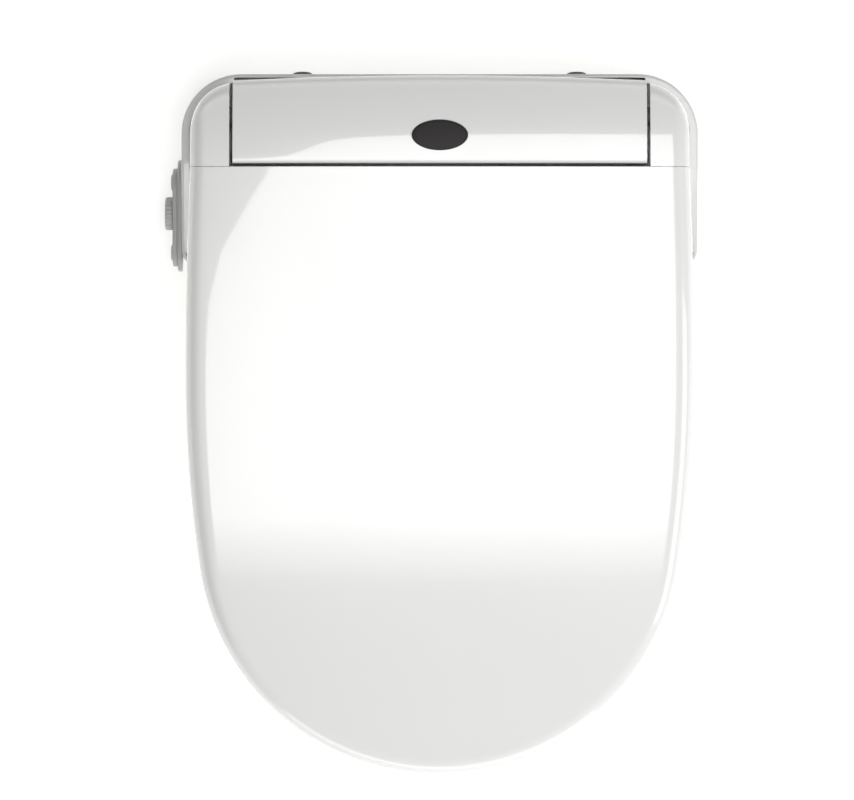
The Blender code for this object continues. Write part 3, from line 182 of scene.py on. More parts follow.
class Finish:
    """A material in the making, with one Principled shader."""

    def __init__(self, name, colour, roughness, metallic=0.0):
        self.material = bpy.data.materials.new(name)
        self.material.use_nodes = True
        self.tree = self.material.node_tree
        self.shader = self.tree.nodes["Principled BSDF"]
        self.shader.inputs["Base Color"].default_value = (*colour, 1)
        self.shader.inputs["Roughness"].default_value = roughness
        self.shader.inputs["Metallic"].default_value = metallic
        self.colour = colour
        self.roughness = roughness

    def fill(self, socket, value):
        if isinstance(value, Value):
            self.tree.links.new(value.socket, socket)
        elif isinstance(value, tuple) and len(socket.default_value) == 4 and len(value) == 3:
            socket.default_value = (*value, 1)
        else:
            socket.default_value = value

    def node(self, kind, settings=None, sockets=None, output=0):
        """Adds any node: its settings first, then the values or links of its sockets."""
        node = self.tree.nodes.new(kind)
        for key, setting in (settings or {}).items():
            if key == "stops":
                ramp = node.color_ramp.elements
                while len(ramp) < len(setting):
                    ramp.new(0.5)
                for element, (place, shade) in zip(ramp, setting):
                    element.position = place
                    element.color = (shade, shade, shade, 1)
            else:
                setattr(node, key, setting)
        for key, value in (sockets or {}).items():
            self.fill(node.inputs[key], value)
        return Value(self, node.outputs[output])

    def paint(self, name, value):
        """Sets or links a socket of the shader."""
        self.fill(self.shader.inputs[name], value)
        return self

    def place(self):
        return self.node("ShaderNodeTexCoord", output="Object")

    def noise(self, scale, detail=3.0, stretch=(1, 1, 1)):
        """Even noise from 0 to 1; scale counts its grains in a metre."""
        stretched = self.node("ShaderNodeMapping", {}, {"Vector": self.place(), "Scale": stretch})
        return self.node("ShaderNodeTexNoise", {},
                         {"Vector": stretched, "Scale": scale, "Detail": detail})

    def tint(self, mask, colour):
        """Mixes the base colour towards another where mask is 1."""
        mixed = self.node("ShaderNodeMix", {"data_type": "RGBA"},
                          {"Factor": mask, "A": self.colour, "B": colour}, output="Result")
        return self.paint("Base Color", mixed)

    def relief(self, height, depth):
        """Fine relief of the surface, depth in metres."""
        bump = self.node("ShaderNodeBump", {}, {"Height": height, "Distance": depth, "Strength": 1.0})
        return self.paint("Normal", bump)


floor_finish = Finish("floor_paint", FLOOR_COLOUR, 0.9)
floor_finish.paint("Roughness", 0.86 + 0.08 * floor_finish.noise(7.0))
floor_finish.paint("Emission Color", (1, 1, 0.985))
floor_finish.paint("Emission Strength", 0.50)
floor_mesh = bpy.data.meshes.new("floor")
floor_corners = rectangle(2 * FLOOR_REACH, 2 * FLOOR_REACH)
floor_mesh.from_pydata([(x, y, 0) for x, y in floor_corners], [], [(0, 1, 2, 3)])
floor_mesh.materials.append(floor_finish.material)
floor = bpy.data.objects.new("floor", floor_mesh)
floor.location.z = cad_bounds[0][2] - FLOOR_DROP
bpy.context.scene.collection.objects.link(floor)


# ---- Base tray: gloss white moulding that carries every fixed part ----
# Injection-moulded ABS with rounded edges and a floor above the mounting plate. It is open for the
# wands, the dryer, the air intake, the filter drawer, the hose, the cord and the release button.
SHELL_WHITE = (0.86, 0.86, 0.852)
BASE_HALF_WIDTH = 0.1935
BASE_REAR_Y = 0.0497
BASE_FRONT_Y = -0.094
BASE_CORNER = 0.045
BASE_FRONT_CORNER = 0.012
BASE_WALL = 0.0025
BASE_FLOOR_LOW = 0.009
BASE_FLOOR_TOP = 0.0115
FRONT_END_TOP_Z = 0.046
REAR_TOP_Z = 0.060
DECK_TOP_Z = 0.0415
SEAM_Y = -0.0214
SMOOTH_ANGLE = math.radians(35)


def arc(centre, radius, start, end, steps):
    """Points on a circle's arc, angles in degrees."""
    turns = [math.radians(start + (end - start) * i / steps) for i in range(steps + 1)]
    return [(centre[0] + radius * math.cos(t), centre[1] + radius * math.sin(t)) for t in turns]


def base_plan(inset):
    """Plan outline of the tray moved in by inset; every inset gives matching points."""
    half = BASE_HALF_WIDTH - inset
    big = BASE_CORNER - inset
    small = max(0.002, BASE_FRONT_CORNER - inset)
    right = arc((half - big, BASE_REAR_Y - BASE_CORNER), big, 0, 90, 22)
    left = [(-x, y) for x, y in reversed(right)]
    back = [(right[-1][0] + (left[0][0] - right[-1][0]) * i / 20, right[-1][1]) for i in range(1, 20)]
    front_left = arc((-half + small, BASE_FRONT_Y + inset + small), small, 180, 270, 10)
    front_right = [(-x, y) for x, y in reversed(front_left)]
    drop = [(-half, left[-1][1] + (front_left[0][1] - left[-1][1]) * i / 10) for i in range(1, 10)]
    front_x = front_left[-1][0]
    front = [(front_x - 2 * front_x * i / 24, front_left[-1][1]) for i in range(1, 24)]
    rise = [(half, y) for _, y in reversed(drop)]
    return right + back + left + drop + front_left + front + front_right + rise


def base_wall_top(y):
    """The wall rises from the deck's edge round the front corner, then climbs to the rear."""
    share = (y - BASE_FRONT_Y) / (SEAM_Y - BASE_FRONT_Y)
    side = FRONT_END_TOP_Z + (REAR_TOP_Z - FRONT_END_TOP_Z) * min(1, share)
    blend = min(1, (y - BASE_FRONT_Y) / BASE_FRONT_CORNER)
    ease = math.sqrt(max(0, 1 - (1 - blend) ** 2))
    front = DECK_TOP_Z - 0.0003
    return front + (side - front) * ease


def new_piece(name, bm, finish):
    """An object from a bmesh in the row frame."""
    bmesh.ops.remove_doubles(bm, verts=bm.verts, dist=1e-6)
    bmesh.ops.recalc_face_normals(bm, faces=bm.faces)
    mesh = bpy.data.meshes.new(name)
    bm.to_mesh(mesh)
    bm.free()
    mesh.shade_smooth()
    mesh.set_sharp_from_angle(angle=SMOOTH_ANGLE)
    if finish:
        mesh.materials.append(finish.material)
    piece = bpy.data.objects.new(name, mesh)
    bpy.context.scene.collection.objects.link(piece)
    return piece


def loft(name, sections, finish=None):
    """A closed solid through sections of equally many points, capped at both ends."""
    bm = bmesh.new()
    rows = [[bm.verts.new(point) for point in section] for section in sections]
    count = len(rows[0])
    for low, high in zip(rows, rows[1:]):
        for i in range(count):
            j = (i + 1) % count
            bm.faces.new((low[i], low[j], high[j], high[i]))
    bm.faces.new(rows[0])
    bm.faces.new(rows[-1])
    return new_piece(name, bm, finish)


def along(axis, point, depth):
    """A point of a flat outline, set at a depth along the axis."""
    if axis == "X":
        return (depth, point[0], point[1])
    if axis == "Y":
        return (point[0], depth, point[1])
    return (point[0], point[1], depth)


def prism(name, outline, axis, low, high, finish=None):
    return loft(name, [[along(axis, p, d) for p in outline] for d in (low, high)], finish)


def disc(centre, radius, count=32):
    return arc(centre, radius, 180 / count, 360 + 180 / count, count)[:-1]


def rod(name, axis, centre, radius, low, high, finish=None, count=32):
    return prism(name, disc(centre, radius, count), axis, low, high, finish)


def block(name, low, high, finish=None):
    outline = [(low[0], low[1]), (high[0], low[1]), (high[0], high[1]), (low[0], high[1])]
    return prism(name, outline, "Z", low[2], high[2], finish)


def settle(piece, tools=(), joins=()):
    """Cuts the tools out of the piece, joins others to it, and applies its modifiers."""
    for others, operation in ((joins, "UNION"), (tools, "DIFFERENCE")):
        for other in others:
            step = piece.modifiers.new(other.name, "BOOLEAN")
            step.operation = operation
            step.solver = "EXACT"
            step.object = other
    bpy.context.view_layer.update()
    graph = bpy.context.evaluated_depsgraph_get()
    finished = bpy.data.meshes.new_from_object(piece.evaluated_get(graph))
    finished.set_sharp_from_angle(angle=SMOOTH_ANGLE)
    piece.modifiers.clear()
    piece.data = finished
    for other in (*tools, *joins):
        bpy.data.objects.remove(other)
    return piece


def fit(piece, body, slot_name, *nodes):
    """Puts the piece on its body and lets it stand for the CAD nodes."""
    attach(piece, body)
    if nodes:
        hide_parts(*nodes)
    return piece


def gloss_plastic(name, colour, roughness=0.20, coat=1.0):
    """Polished moulding: clear sheen, faint orange peel, a few dull rubs, and edges polished by cloths."""
    finish = Finish(name, colour, roughness)
    edge = finish.node("ShaderNodeNewGeometry", output="Pointiness")
    worn = finish.node("ShaderNodeMapRange", {"clamp": True},
                       {"Value": edge, "From Min": 0.53, "From Max": 0.62}) * finish.noise(160)
    rubs = finish.node("ShaderNodeMapRange", {"clamp": True},
                       {"Value": finish.noise(22, 5, (1, 0.25, 1)), "From Min": 0.58, "From Max": 0.75})
    finish.paint("Roughness", roughness + 0.05 * rubs + 0.10 * worn)
    finish.paint("Coat Weight", coat - 0.10 * rubs)
    finish.paint("Coat Roughness", 0.035)
    finish.paint("Coat IOR", 1.6)
    finish.tint(0.5 * worn, tuple(c * 0.96 for c in colour))
    return finish.relief(finish.noise(620, 1), 2.0e-6)


gloss_white = gloss_plastic("gloss_white", SHELL_WHITE)


def ring_solid(name, rows, finish):
    """A hollow ring whose cross-section passes through the rows and back to the first."""
    bm = bmesh.new()
    grid = [[bm.verts.new(point) for point in row] for row in rows]
    count = len(grid[0])
    for low, high in zip(grid, grid[1:] + grid[:1]):
        for i in range(count):
            j = (i + 1) % count
            bm.faces.new((low[i], low[j], high[j], high[i]))
    return new_piece(name, bm, finish)


def wall_row(inset, height):
    """A row round the wall; height takes the wall's top at that place."""
    return [(x, y, height(base_wall_top(outer_y)))
            for (x, y), (_, outer_y) in zip(base_plan(inset), base_plan(0))]


wall_rows = [wall_row(inset, lambda top, z=z: z) for inset, z in
             ((0.0012, 0.0015), (0.0004, 0.0018), (0, 0.0026), (0, 0.010), (0, 0.020), (0, 0.030))]
wall_rows += [wall_row(inset, lambda top, down=down: top - down) for inset, down in
              ((0, 0.0008), (0.0002, 0.0003), (0.0008, 0), (BASE_WALL, 0))]
wall_rows += [wall_row(BASE_WALL, lambda top: 0.0125), wall_row(BASE_WALL, lambda top: 0.0015)]
base_tray = ring_solid("base_tray", wall_rows, gloss_white)
base_floor = prism("base_floor", base_plan(BASE_WALL / 2), "Z", BASE_FLOOR_LOW, BASE_FLOOR_TOP)
openings = [
    block("nozzle_mouth", (-0.033, BASE_FRONT_Y - 0.01, -0.01), (0.033, BASE_FRONT_Y + 0.028, 0.030)),
    block("dryer_mouth", (0.046, BASE_FRONT_Y - 0.01, 0.015), (0.090, BASE_FRONT_Y + 0.01, 0.034)),
    block("filter_mouth", (BASE_HALF_WIDTH - 0.02, -0.070, 0.0135),
          (BASE_HALF_WIDTH + 0.02, -0.030, 0.0335)),
    rod("hose_well", "Z", (-0.160, 0.012), 0.018, -0.01, 0.02, count=48),
    rod("cord_hole", "Y", (0.150, 0.024), 0.0065, 0.02, 0.09),
    rod("button_hole", "X", (-0.002, 0.026), 0.0075, BASE_HALF_WIDTH - 0.02, BASE_HALF_WIDTH + 0.02),
]
for level in range(3):
    openings.append(block("intake_slot", (-0.092, BASE_FRONT_Y - 0.01, 0.017 + 0.006 * level),
                          (-0.048, BASE_FRONT_Y + 0.01, 0.020 + 0.006 * level)))
settle(base_tray, openings, [base_floor])
fit(base_tray, "base", "gloss_white", "base_lower")


# A ledge inside the wall closes most of the gap beside the lid and its ears.
LEDGE_FRONT_Y = BASE_FRONT_Y + 0.010
LEDGE_BEND = (0.1499, 0.006)


def ledge_row(inset, down):
    """Points along one side of the tray from its front end to the rear corner, bent like the ear."""
    inner = BASE_HALF_WIDTH - inset
    corner = arc(LEDGE_BEND, inner - LEDGE_BEND[0], 0, 84, 20)
    side = [(inner, LEDGE_FRONT_Y + (LEDGE_BEND[1] - LEDGE_FRONT_Y) * i / 16) for i in range(16)]
    return [(x, y, min(REAR_TOP_Z, base_wall_top(y)) - down) for x, y in side + corner]


for side, word in ((1, "left"), (-1, "right")):
    rows = [ledge_row(inset, down) for inset, down in
            ((0.0018, 0.0042), (0.0018, 0.0012), (0.0060, 0.0012), (0.0066, 0.0018), (0.0066, 0.0042))]
    sections = [[(side * x, y, z) for x, y, z in points] for points in zip(*rows)]
    fit(loft(f"tray_ledge_{word}", sections, gloss_white), "base", "gloss_white")


# ---- Deck: satin white cover over the arms of the base ----
# A flat moulding that drops inside the tray's wall. It is open where the centre cover stands, and
# it keeps splashes off the heater, the fans and the boards.


def dress(finish, *node_names):
    """Gives carried-over CAD nodes their finish."""
    for node_name in node_names:
        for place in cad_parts[node_name].material_slots:
            place.link = "OBJECT"
            place.material = finish.material


satin_white = gloss_plastic("satin_white", (0.80, 0.80, 0.79), 0.34, 0.25)
dress(satin_white, "base_deck")


# ---- Mounting plate and bolt sliders: what holds the seat to the bowl ----
# Glass-filled nylon, moulded with a fine matt grain. Each slider carries one bowl bolt, and the
# grey button lets the seat off its plate. Pan-head screws close the tray from below.
TRAY_SCREWS = [(-0.176, -0.080), (0.176, -0.080), (-0.165, 0.036), (0.118, 0.036)]


def matt_plastic(name, colour, roughness=0.5, grain=420, depth=1.2e-5):
    """Spark-textured moulding: fine grain, uneven sheen, and paler scuffed edges."""
    finish = Finish(name, colour, roughness)
    edge = finish.node("ShaderNodeNewGeometry", output="Pointiness")
    scuff = finish.node("ShaderNodeMapRange", {"clamp": True},
                        {"Value": edge, "From Min": 0.53, "From Max": 0.64}) * finish.noise(240, 4)
    cloud = finish.noise(18, 4)
    finish.tint(0.55 * scuff, tuple(min(1, c * 1.3 + 0.05) for c in colour))
    finish.paint("Roughness", roughness - 0.06 + 0.12 * cloud + 0.12 * scuff)
    return finish.relief(finish.noise(grain * 4, 2), depth)


grey_plastic = matt_plastic("grey_plastic", (0.30, 0.31, 0.32))
dress(satin_white, "mounting_plate")
dress(grey_plastic, "bolt_slider_left", "bolt_slider_right", "release_button")


def metal(name, colour, roughness, turned=(1, 1, 12)):
    """Turned or drawn metal: fine lines, finger marks, and brighter edges."""
    finish = Finish(name, colour, roughness, 1.0)
    lines = finish.noise(900, 2, turned)
    marks = finish.noise(40, 4)
    edge = finish.node("ShaderNodeNewGeometry", output="Pointiness")
    bright = finish.node("ShaderNodeMapRange", {"clamp": True},
                         {"Value": edge, "From Min": 0.52, "From Max": 0.62})
    finish.tint(0.5 * bright, tuple(min(1, c * 1.2) for c in colour))
    finish.paint("Roughness", roughness - 0.05 + 0.10 * lines + 0.14 * marks)
    return finish.relief(lines, 4e-6)


steel = metal("steel", (0.62, 0.62, 0.60), 0.26)


def screw_head(name, point, axis, side, body, radius=0.0032):
    """Pan head with a cross recess; side is the way that it faces along the axis."""
    across = [0, 1, 2]
    number = "XYZ".index(axis)
    across.remove(number)
    flat = [point[i] for i in across]
    sections = []
    for height, size in ((0, 1), (0.0006, 1), (0.0012, 0.88), (0.0016, 0.62)):
        level = point[number] + side * height
        sections.append([along(axis, p, level) for p in disc(flat, radius * size, 24)])
    head = loft(name, sections, steel)
    top = point[number] + side * 0.0030
    foot = point[number] + side * 0.0007
    tools = []
    for width, depth in ((radius * 0.62, radius * 0.13), (radius * 0.13, radius * 0.62)):
        outline = [(flat[0] - width, flat[1] - depth), (flat[0] + width, flat[1] - depth),
                   (flat[0] + width, flat[1] + depth), (flat[0] - width, flat[1] + depth)]
        tools.append(prism(name + "_slot", outline, axis, min(foot, top), max(foot, top)))
    settle(head, tools)
    return fit(head, body, "steel")


for number, (x, y) in enumerate(TRAY_SCREWS):
    screw_head(f"tray_screw_{number + 1}", (x, y, BASE_FLOOR_LOW - 0.0001), "Z", -1, "base")


# ---- Water path: brass inlet, solenoid valve and flow heater ----
# Mains water comes up through the tray's floor and passes the valve and the heater to the wands.
# The inlet is turned brass; the heater's body is wrapped in foil.
brass = metal("brass", (0.72, 0.55, 0.28), 0.28)
foil = metal("foil", (0.75, 0.75, 0.74), 0.32, (1, 1, 1))
dress(brass, "water_inlet")
dress(grey_plastic, "solenoid_valve")
dress(foil, "water_heater")


# ---- Wash wands: steel tubes with a white tip, each driven by a rack and pinion ----
# The tips are pressed on. The wands slide down and forward on their cradle, out of the mouth of the
# base, and a stepper motor turns each pinion.
for wand in ("rear_wash", "front_wash"):
    dress(steel, f"{wand}_nozzle", f"{wand}_motor")
    dress(satin_white, f"{wand}_tip", f"{wand}_pinion")
dress(satin_white, "nozzle_cradle")


# ---- Warm air dryer and deodoriser: fans, duct, flap and charcoal drawer ----
# Moulded nylon. Both fan wheels are black; the scroll and the drawer are grey, and the outlet's
# flap is white. The flap hangs on its own pins and swings up in the stream of air.
black_plastic = matt_plastic("black_plastic", (0.030, 0.030, 0.031), 0.42)
dress(grey_plastic, "blower_housing", "filter_cartridge")
dress(black_plastic, "blower_impeller", "deodoriser_housing", "deodoriser_rotor")
dress(satin_white, "dryer_flap")
dress(steel, "blower_motor")


# ---- Circuit boards ----
# Glass-fibre boards under a green solder mask that shows fine tracks, lacquered against damp. The
# cord's gland beside them is black nylon.
circuit = Finish("circuit", (0.05, 0.22, 0.12), 0.5)
tracks = circuit.node("ShaderNodeTexBrick", {"offset": 0.5},
                      {"Vector": circuit.place(), "Scale": 260.0, "Mortar Size": 0.06,
                       "Color1": (0, 0, 0), "Color2": (0.25, 0.25, 0.25), "Mortar": (1, 1, 1)})
circuit.tint(0.6 * tracks, (0.08, 0.34, 0.18))
circuit.paint("Roughness", 0.42 + 0.15 * circuit.noise(300))
circuit.paint("Coat Weight", 0.4 + 0.3 * circuit.noise(25))
circuit.relief(tracks, 4e-5)
dress(circuit, "main_board", "power_board")
dress(black_plastic, "cord_gland")


# ---- Centre cover: gloss white moulding over the electronics ----
# It carries on the line of the lid, falls to the rear and ends in a rounded edge. A narrow gap
# parts it from the lid and its ears.
LID_HALF_WIDTH = 0.1894
LID_REAR_Z = 0.115
LID_REAR_SLOPE = 0.05
LID_CROWN = 0.006
EAR_REAR_Y = 0.042
COVER_HALF_WIDTH = 0.1538
COVER_FRONT_Y = -0.0189
COVER_REAR_Y = 0.0468
COVER_REAR_BOW = 0.0038
COVER_REAR_DROP = 0.0094
COVER_EDGE = 0.006
COVER_FRONT_ROUND = 0.003
COVER_WALL = 0.0025
BUSH_HOLE_RADIUS = 0.0073
WINDOW_Y = 0.0021
WINDOW_HALF_X = 0.02105
WINDOW_HALF_Y = 0.01155
HINGE_Y = 0.017
HINGE_Z = 0.082


def crown(x):
    """How far the top falls away beside the middle line."""
    return LID_CROWN * (abs(x) / LID_HALF_WIDTH) ** 3


def rear_top(x, y):
    """Height of the cover and of the ears, a hair below the lid's rear edge at the seam."""
    back = y - SEAM_Y
    length = EAR_REAR_Y - SEAM_Y
    bend = (COVER_REAR_DROP + LID_REAR_SLOPE * length) / length ** 2
    return LID_REAR_Z - 0.0001 + LID_REAR_SLOPE * back - bend * back ** 2 - crown(x)


def cover_section(x, wall):
    """Side outline of the cover at x; wall above 0 gives its hollow."""
    rear = COVER_REAR_Y - COVER_REAR_BOW * (x / COVER_HALF_WIDTH) ** 2 - wall
    front = COVER_FRONT_Y + wall
    low = DECK_TOP_Z + 0.0003 if wall == 0 else DECK_TOP_Z - 0.02
    points = [(front, low)]
    for i in range(7):
        turn = math.pi / 2 * i / 6
        points.append((front + COVER_FRONT_ROUND * (1 - math.cos(turn)),
                       rear_top(x, front) - COVER_FRONT_ROUND * (1 - math.sin(turn)) - wall))
    flat_end = rear - COVER_EDGE
    for i in range(1, 19):
        y = front + COVER_FRONT_ROUND + (flat_end - front - COVER_FRONT_ROUND) * i / 18
        points.append((y, rear_top(x, y) - wall))
    for i in range(1, 11):
        turn = math.pi / 2 * (1 - i / 10)
        points.append((flat_end + COVER_EDGE * math.cos(turn),
                       rear_top(x, flat_end) - COVER_EDGE * (1 - math.sin(turn)) - wall))
    points.append((rear, low))
    return [(x, y, z) for y, z in points]


def leaning_oval(name, half_x, half_y, low, high, finish=None, dome=0.0, count=72):
    """An oval plug through the cover's top that leans with its slope; dome raises its middle."""
    lean = (rear_top(0, WINDOW_Y + half_y) - rear_top(0, WINDOW_Y - half_y)) / (2 * half_y)
    steps = [(low, 1), (high, 1)]
    if dome:
        steps = [(low, 1), (high - 0.0003, 1), (high - 0.0001, 0.993)]
        steps += [(high + dome * (1 - size ** 2), size) for size in (0.98, 0.9, 0.75, 0.5, 0.25, 0.05)]
    sections = []
    for level, size in steps:
        ring = []
        for i in range(count):
            turn = math.tau * i / count
            side = half_y * size * math.sin(turn)
            ring.append((half_x * size * math.cos(turn), WINDOW_Y + side,
                         rear_top(0, WINDOW_Y) + level + lean * side))
        sections.append(ring)
    return loft(name, sections, finish)


shares = [i / 28 for i in range(-28, 29)]
centre_cover = loft("centre_cover", [cover_section(COVER_HALF_WIDTH * s, 0) for s in shares], gloss_white)
inner_half = COVER_HALF_WIDTH - COVER_WALL
cover_hollow = loft("cover_hollow", [cover_section(inner_half * s, COVER_WALL) for s in shares])
window_hole = leaning_oval("window_hole", WINDOW_HALF_X, WINDOW_HALF_Y, -0.02, 0.02)
bush_holes = [rod("bush_hole", "X", (HINGE_Y, HINGE_Z), BUSH_HOLE_RADIUS, side * (COVER_HALF_WIDTH - 0.01),
                  side * (COVER_HALF_WIDTH + 0.01)) for side in (-1, 1)]
settle(centre_cover, [cover_hollow, window_hole, *bush_holes])


def soften(piece, width=0.0004, angle=40):
    """Rounds the piece's sharp edges, as a mould leaves them."""
    bevel = piece.modifiers.new("edges", "BEVEL")
    bevel.width = width
    bevel.segments = 2
    bevel.limit_method = "ANGLE"
    bevel.angle_limit = math.radians(angle)
    return piece


soften(centre_cover, 0.0009)
fit(centre_cover, "base", "gloss_white", "rear_cover")


# ---- Sensor window: smoked oval lens with a black rim ----
# Smoked acrylic that lets the remote control's infra-red through, snapped in from behind. The rim
# is a thin black nylon frame that hides the lens's cut edge.
LENS_INSET = 0.0007
RIM_INSET = 0.00015
smoked = Finish("smoked_window", (0.034, 0.031, 0.032), 0.32)
smoked.paint("Specular IOR Level", 0.12)
smoked.paint("Roughness", 0.27 + 0.10 * smoked.noise(120, 4))
smoked.relief(smoked.noise(1800, 1), 1.5e-6)
lens_x = WINDOW_HALF_X - LENS_INSET
lens_y = WINDOW_HALF_Y - LENS_INSET
lens = leaning_oval("window_lens", lens_x, lens_y, -0.0035, -0.0006, smoked, 0.0003)
fit(lens, "base", "smoked_window", "sensor_window")
rim = leaning_oval("window_rim", WINDOW_HALF_X - RIM_INSET, WINDOW_HALF_Y - RIM_INSET, -0.0048, -0.0009,
                   black_plastic)
settle(rim, [leaning_oval("rim_hole", lens_x + 0.00002, lens_y + 0.00002, -0.02, 0.02)])
soften(rim, 0.0001)
fit(rim, "base", "black_plastic")


# ---- Side control: grey bezel, raised panel, dial and two keys ----
# Painted-look ABS on the sitter's right. The dial has finger flutes and a pointer mark; each
# key is a shallow dome.
control_grey = matt_plastic("control_grey", (0.52, 0.52, 0.512), 0.36, 300, 6e-6)
marking = matt_plastic("marking_white", (0.80, 0.80, 0.78), 0.45)
CONTROL_Z = 0.026
BEZEL_FOOT_X = -0.1938
BEZEL_FACE_X = -0.1972
PANEL_FOOT_X = -0.1975
PANEL_FACE_X = -0.2009
KNOB_FOOT_X = -0.2013
KNOB_FACE_X = -0.2068
KNOB_Y = -0.054
KNOB_RADIUS = 0.0125
FLUTES = 24
FLUTE_DEPTH = 0.0003
KEY_RADIUS = 0.0062
KEY_PLACES = {"stop_key": -0.0305, "power_key": -0.0835}


def stadium(centre, length, height, count=20):
    """A round-ended outline."""
    radius = height / 2
    half = length / 2 - radius
    return (arc((centre[0] + half, centre[1]), radius, -90, 90, count)
            + arc((centre[0] - half, centre[1]), radius, 90, 270, count))


def plate(name, centre, length, height, foot, face, edge, finish):
    """A round-ended plate standing out to -X, with a rounded front edge."""
    sections = [[along("X", p, foot) for p in stadium(centre, length, height)]]
    for i in range(6):
        turn = math.pi / 2 * i / 5
        shrink = 2 * edge * (1 - math.cos(turn))
        depth = face + edge * (1 - math.sin(turn))
        sections.append([along("X", p, depth) for p in stadium(centre, length - shrink, height - shrink)])
    return loft(name, sections, finish)


bezel = plate("side_bezel", (-0.0557, CONTROL_Z), 0.084, 0.038, BEZEL_FOOT_X, BEZEL_FACE_X, 0.0016,
              control_grey)
fit(bezel, "base", "control_grey", "control_bezel")

side_panel = plate("side_panel", (-0.057, CONTROL_Z), 0.074, 0.031, PANEL_FOOT_X, PANEL_FACE_X, 0.0012,
                   control_grey)
outside_x = PANEL_FACE_X - 0.01
holes = [rod("hub_hole", "X", (KNOB_Y, CONTROL_Z), 0.0035, outside_x, PANEL_FOOT_X + 0.01)]
for y in KEY_PLACES.values():
    holes.append(rod("key_pocket", "X", (y, CONTROL_Z), KEY_RADIUS + 0.0004, outside_x,
                     PANEL_FOOT_X - 0.0006, count=64))
settle(side_panel, holes)
soften(side_panel, 0.0002)
fit(side_panel, "base", "control_grey", "control_panel")

dial_sections = []
for depth, size in ((0, 0.97), (0.04, 1), (0.62, 1), (0.80, 0.985), (0.92, 0.94), (0.98, 0.88), (1, 0.80)):
    ring = []
    for i in range(192):
        turn = math.tau * i / 192
        flute = FLUTE_DEPTH * (1 + math.cos(FLUTES * turn)) * (depth < 0.9)
        radius = (KNOB_RADIUS - flute) * size
        ring.append((KNOB_FOOT_X + (KNOB_FACE_X - KNOB_FOOT_X) * depth,
                     KNOB_Y + radius * math.cos(turn), CONTROL_Z + radius * math.sin(turn)))
    dial_sections.append(ring)
dial = loft("side_dial", dial_sections, control_grey)
knob_axis = (KNOB_Y, CONTROL_Z)
stub = rod("dial_stub", "X", knob_axis, 0.003, PANEL_FACE_X + 0.0008, KNOB_FOOT_X - 0.001)
dish = rod("dial_dish", "X", knob_axis, 0.0088, KNOB_FACE_X - 0.01, KNOB_FACE_X + 0.0004, count=64)
settle(dial, [dish], [stub])
soften(dial, 0.0002, 50)
fit(dial, "knob", "control_grey", "control_knob")
pointer = block("dial_pointer", (KNOB_FACE_X + 0.0001, KNOB_Y - 0.0005, CONTROL_Z + 0.0035),
                (KNOB_FACE_X + 0.0006, KNOB_Y + 0.0005, CONTROL_Z + 0.0080), marking)
fit(soften(pointer, 0.0001), "knob", "gloss_white")

for key, y in KEY_PLACES.items():
    sections = []
    for x, size in ((-0.1995, 1), (-0.2013, 1), (-0.2018, 0.97), (-0.2021, 0.90), (-0.2023, 0.75),
                    (-0.20225, 0.4), (-0.20218, 0.1)):
        sections.append([along("X", p, x) for p in disc((y, CONTROL_Z), KEY_RADIUS * size, 64)])
    fit(loft(key + "_cap", sections, control_grey), key, "control_grey", key)


# ---- Rear pads: two dark rubber buttons on the rear wall ----
# Moulded rubber, bonded to the tray's rear wall. They keep the seat off the cistern.
PAD_X = 0.103
PAD_Z = 0.043
PAD_FOOT_Y = 0.050
PAD_DEPTH = 0.0022
PAD_RADIUS = 0.0074


def rubber(name, colour, roughness=0.72):
    """Moulded rubber: soft grain, dusty bloom in patches, and polished high spots."""
    finish = Finish(name, colour, roughness)
    bloom = finish.node("ShaderNodeMapRange", {"clamp": True},
                        {"Value": finish.noise(60, 5), "From Min": 0.48, "From Max": 0.72})
    finish.tint(0.35 * bloom, tuple(min(1, c * 1.3 + 0.04) for c in colour))
    finish.paint("Roughness", roughness - 0.08 + 0.16 * bloom)
    return finish.relief(finish.noise(1500, 2), 1.5e-5)


dark_rubber = rubber("dark_rubber", (0.085, 0.085, 0.087))
for side, word in ((1, "left"), (-1, "right")):
    sections = []
    for i in range(9):
        share = 0.98 * i / 8
        y = PAD_FOOT_Y + PAD_DEPTH * share
        radius = PAD_RADIUS * math.sqrt(max(0, 1 - 0.9 * share ** 2.4))
        sections.append([along("Y", p, y) for p in disc((side * PAD_X, PAD_Z), radius, 48)])
    pad = loft(f"rear_pad_{word}", sections, dark_rubber)
    fit(pad, "base", "dark_rubber", f"rear_bumper_{word}")


# ---- Hinge: steel shafts in nylon bushes, with an oil damper for each ----
# The lid and the seat turn on one line, each on its own ground steel shaft. The dampers let both
# down slowly, and grey nylon brackets inside the ears carry the lid.
dress(steel, "lid_hinge_shaft", "seat_hinge_shaft")
dress(black_plastic, "lid_damper", "seat_damper")
dress(grey_plastic, "hinge_bush_left", "hinge_bush_right", "lid_arm_left", "lid_arm_right")


# ---- Seat ring: gloss white, two half shells that meet at a line near the bottom ----
# The ring follows the lid's outline a little inside it and dishes slightly towards its hole. A
# foil heater lies under its top, and soft pale feet rest on the bowl.
LID_WIDEST_Y = -0.182
TIP_Y = -0.476
SIDE_RADIUS = 0.952
REAR_TAPER = 0.0035
SEAT_REAR_Y = -0.034
SEAT_CORNER = 0.012
SEAT_INSET = 0.005
SEAT_THICKNESS = 0.026
SEAT_WALL = 0.0025
SEAT_BOTTOM_REAR_Z = 0.050
SEAT_BOTTOM_SLOPE = 0.0826
HOLE_CENTRE_Y = -0.259
HOLE_HALF_X = 0.1075
HOLE_HALF_Y = 0.141
HOLE_SQUARENESS = 2.3


def side_half_width(y):
    """Half the lid's width behind its widest place, where it tapers slightly."""
    share = (y - LID_WIDEST_Y) / (SEAM_Y - LID_WIDEST_Y)
    return LID_HALF_WIDTH - REAR_TAPER * share ** 2


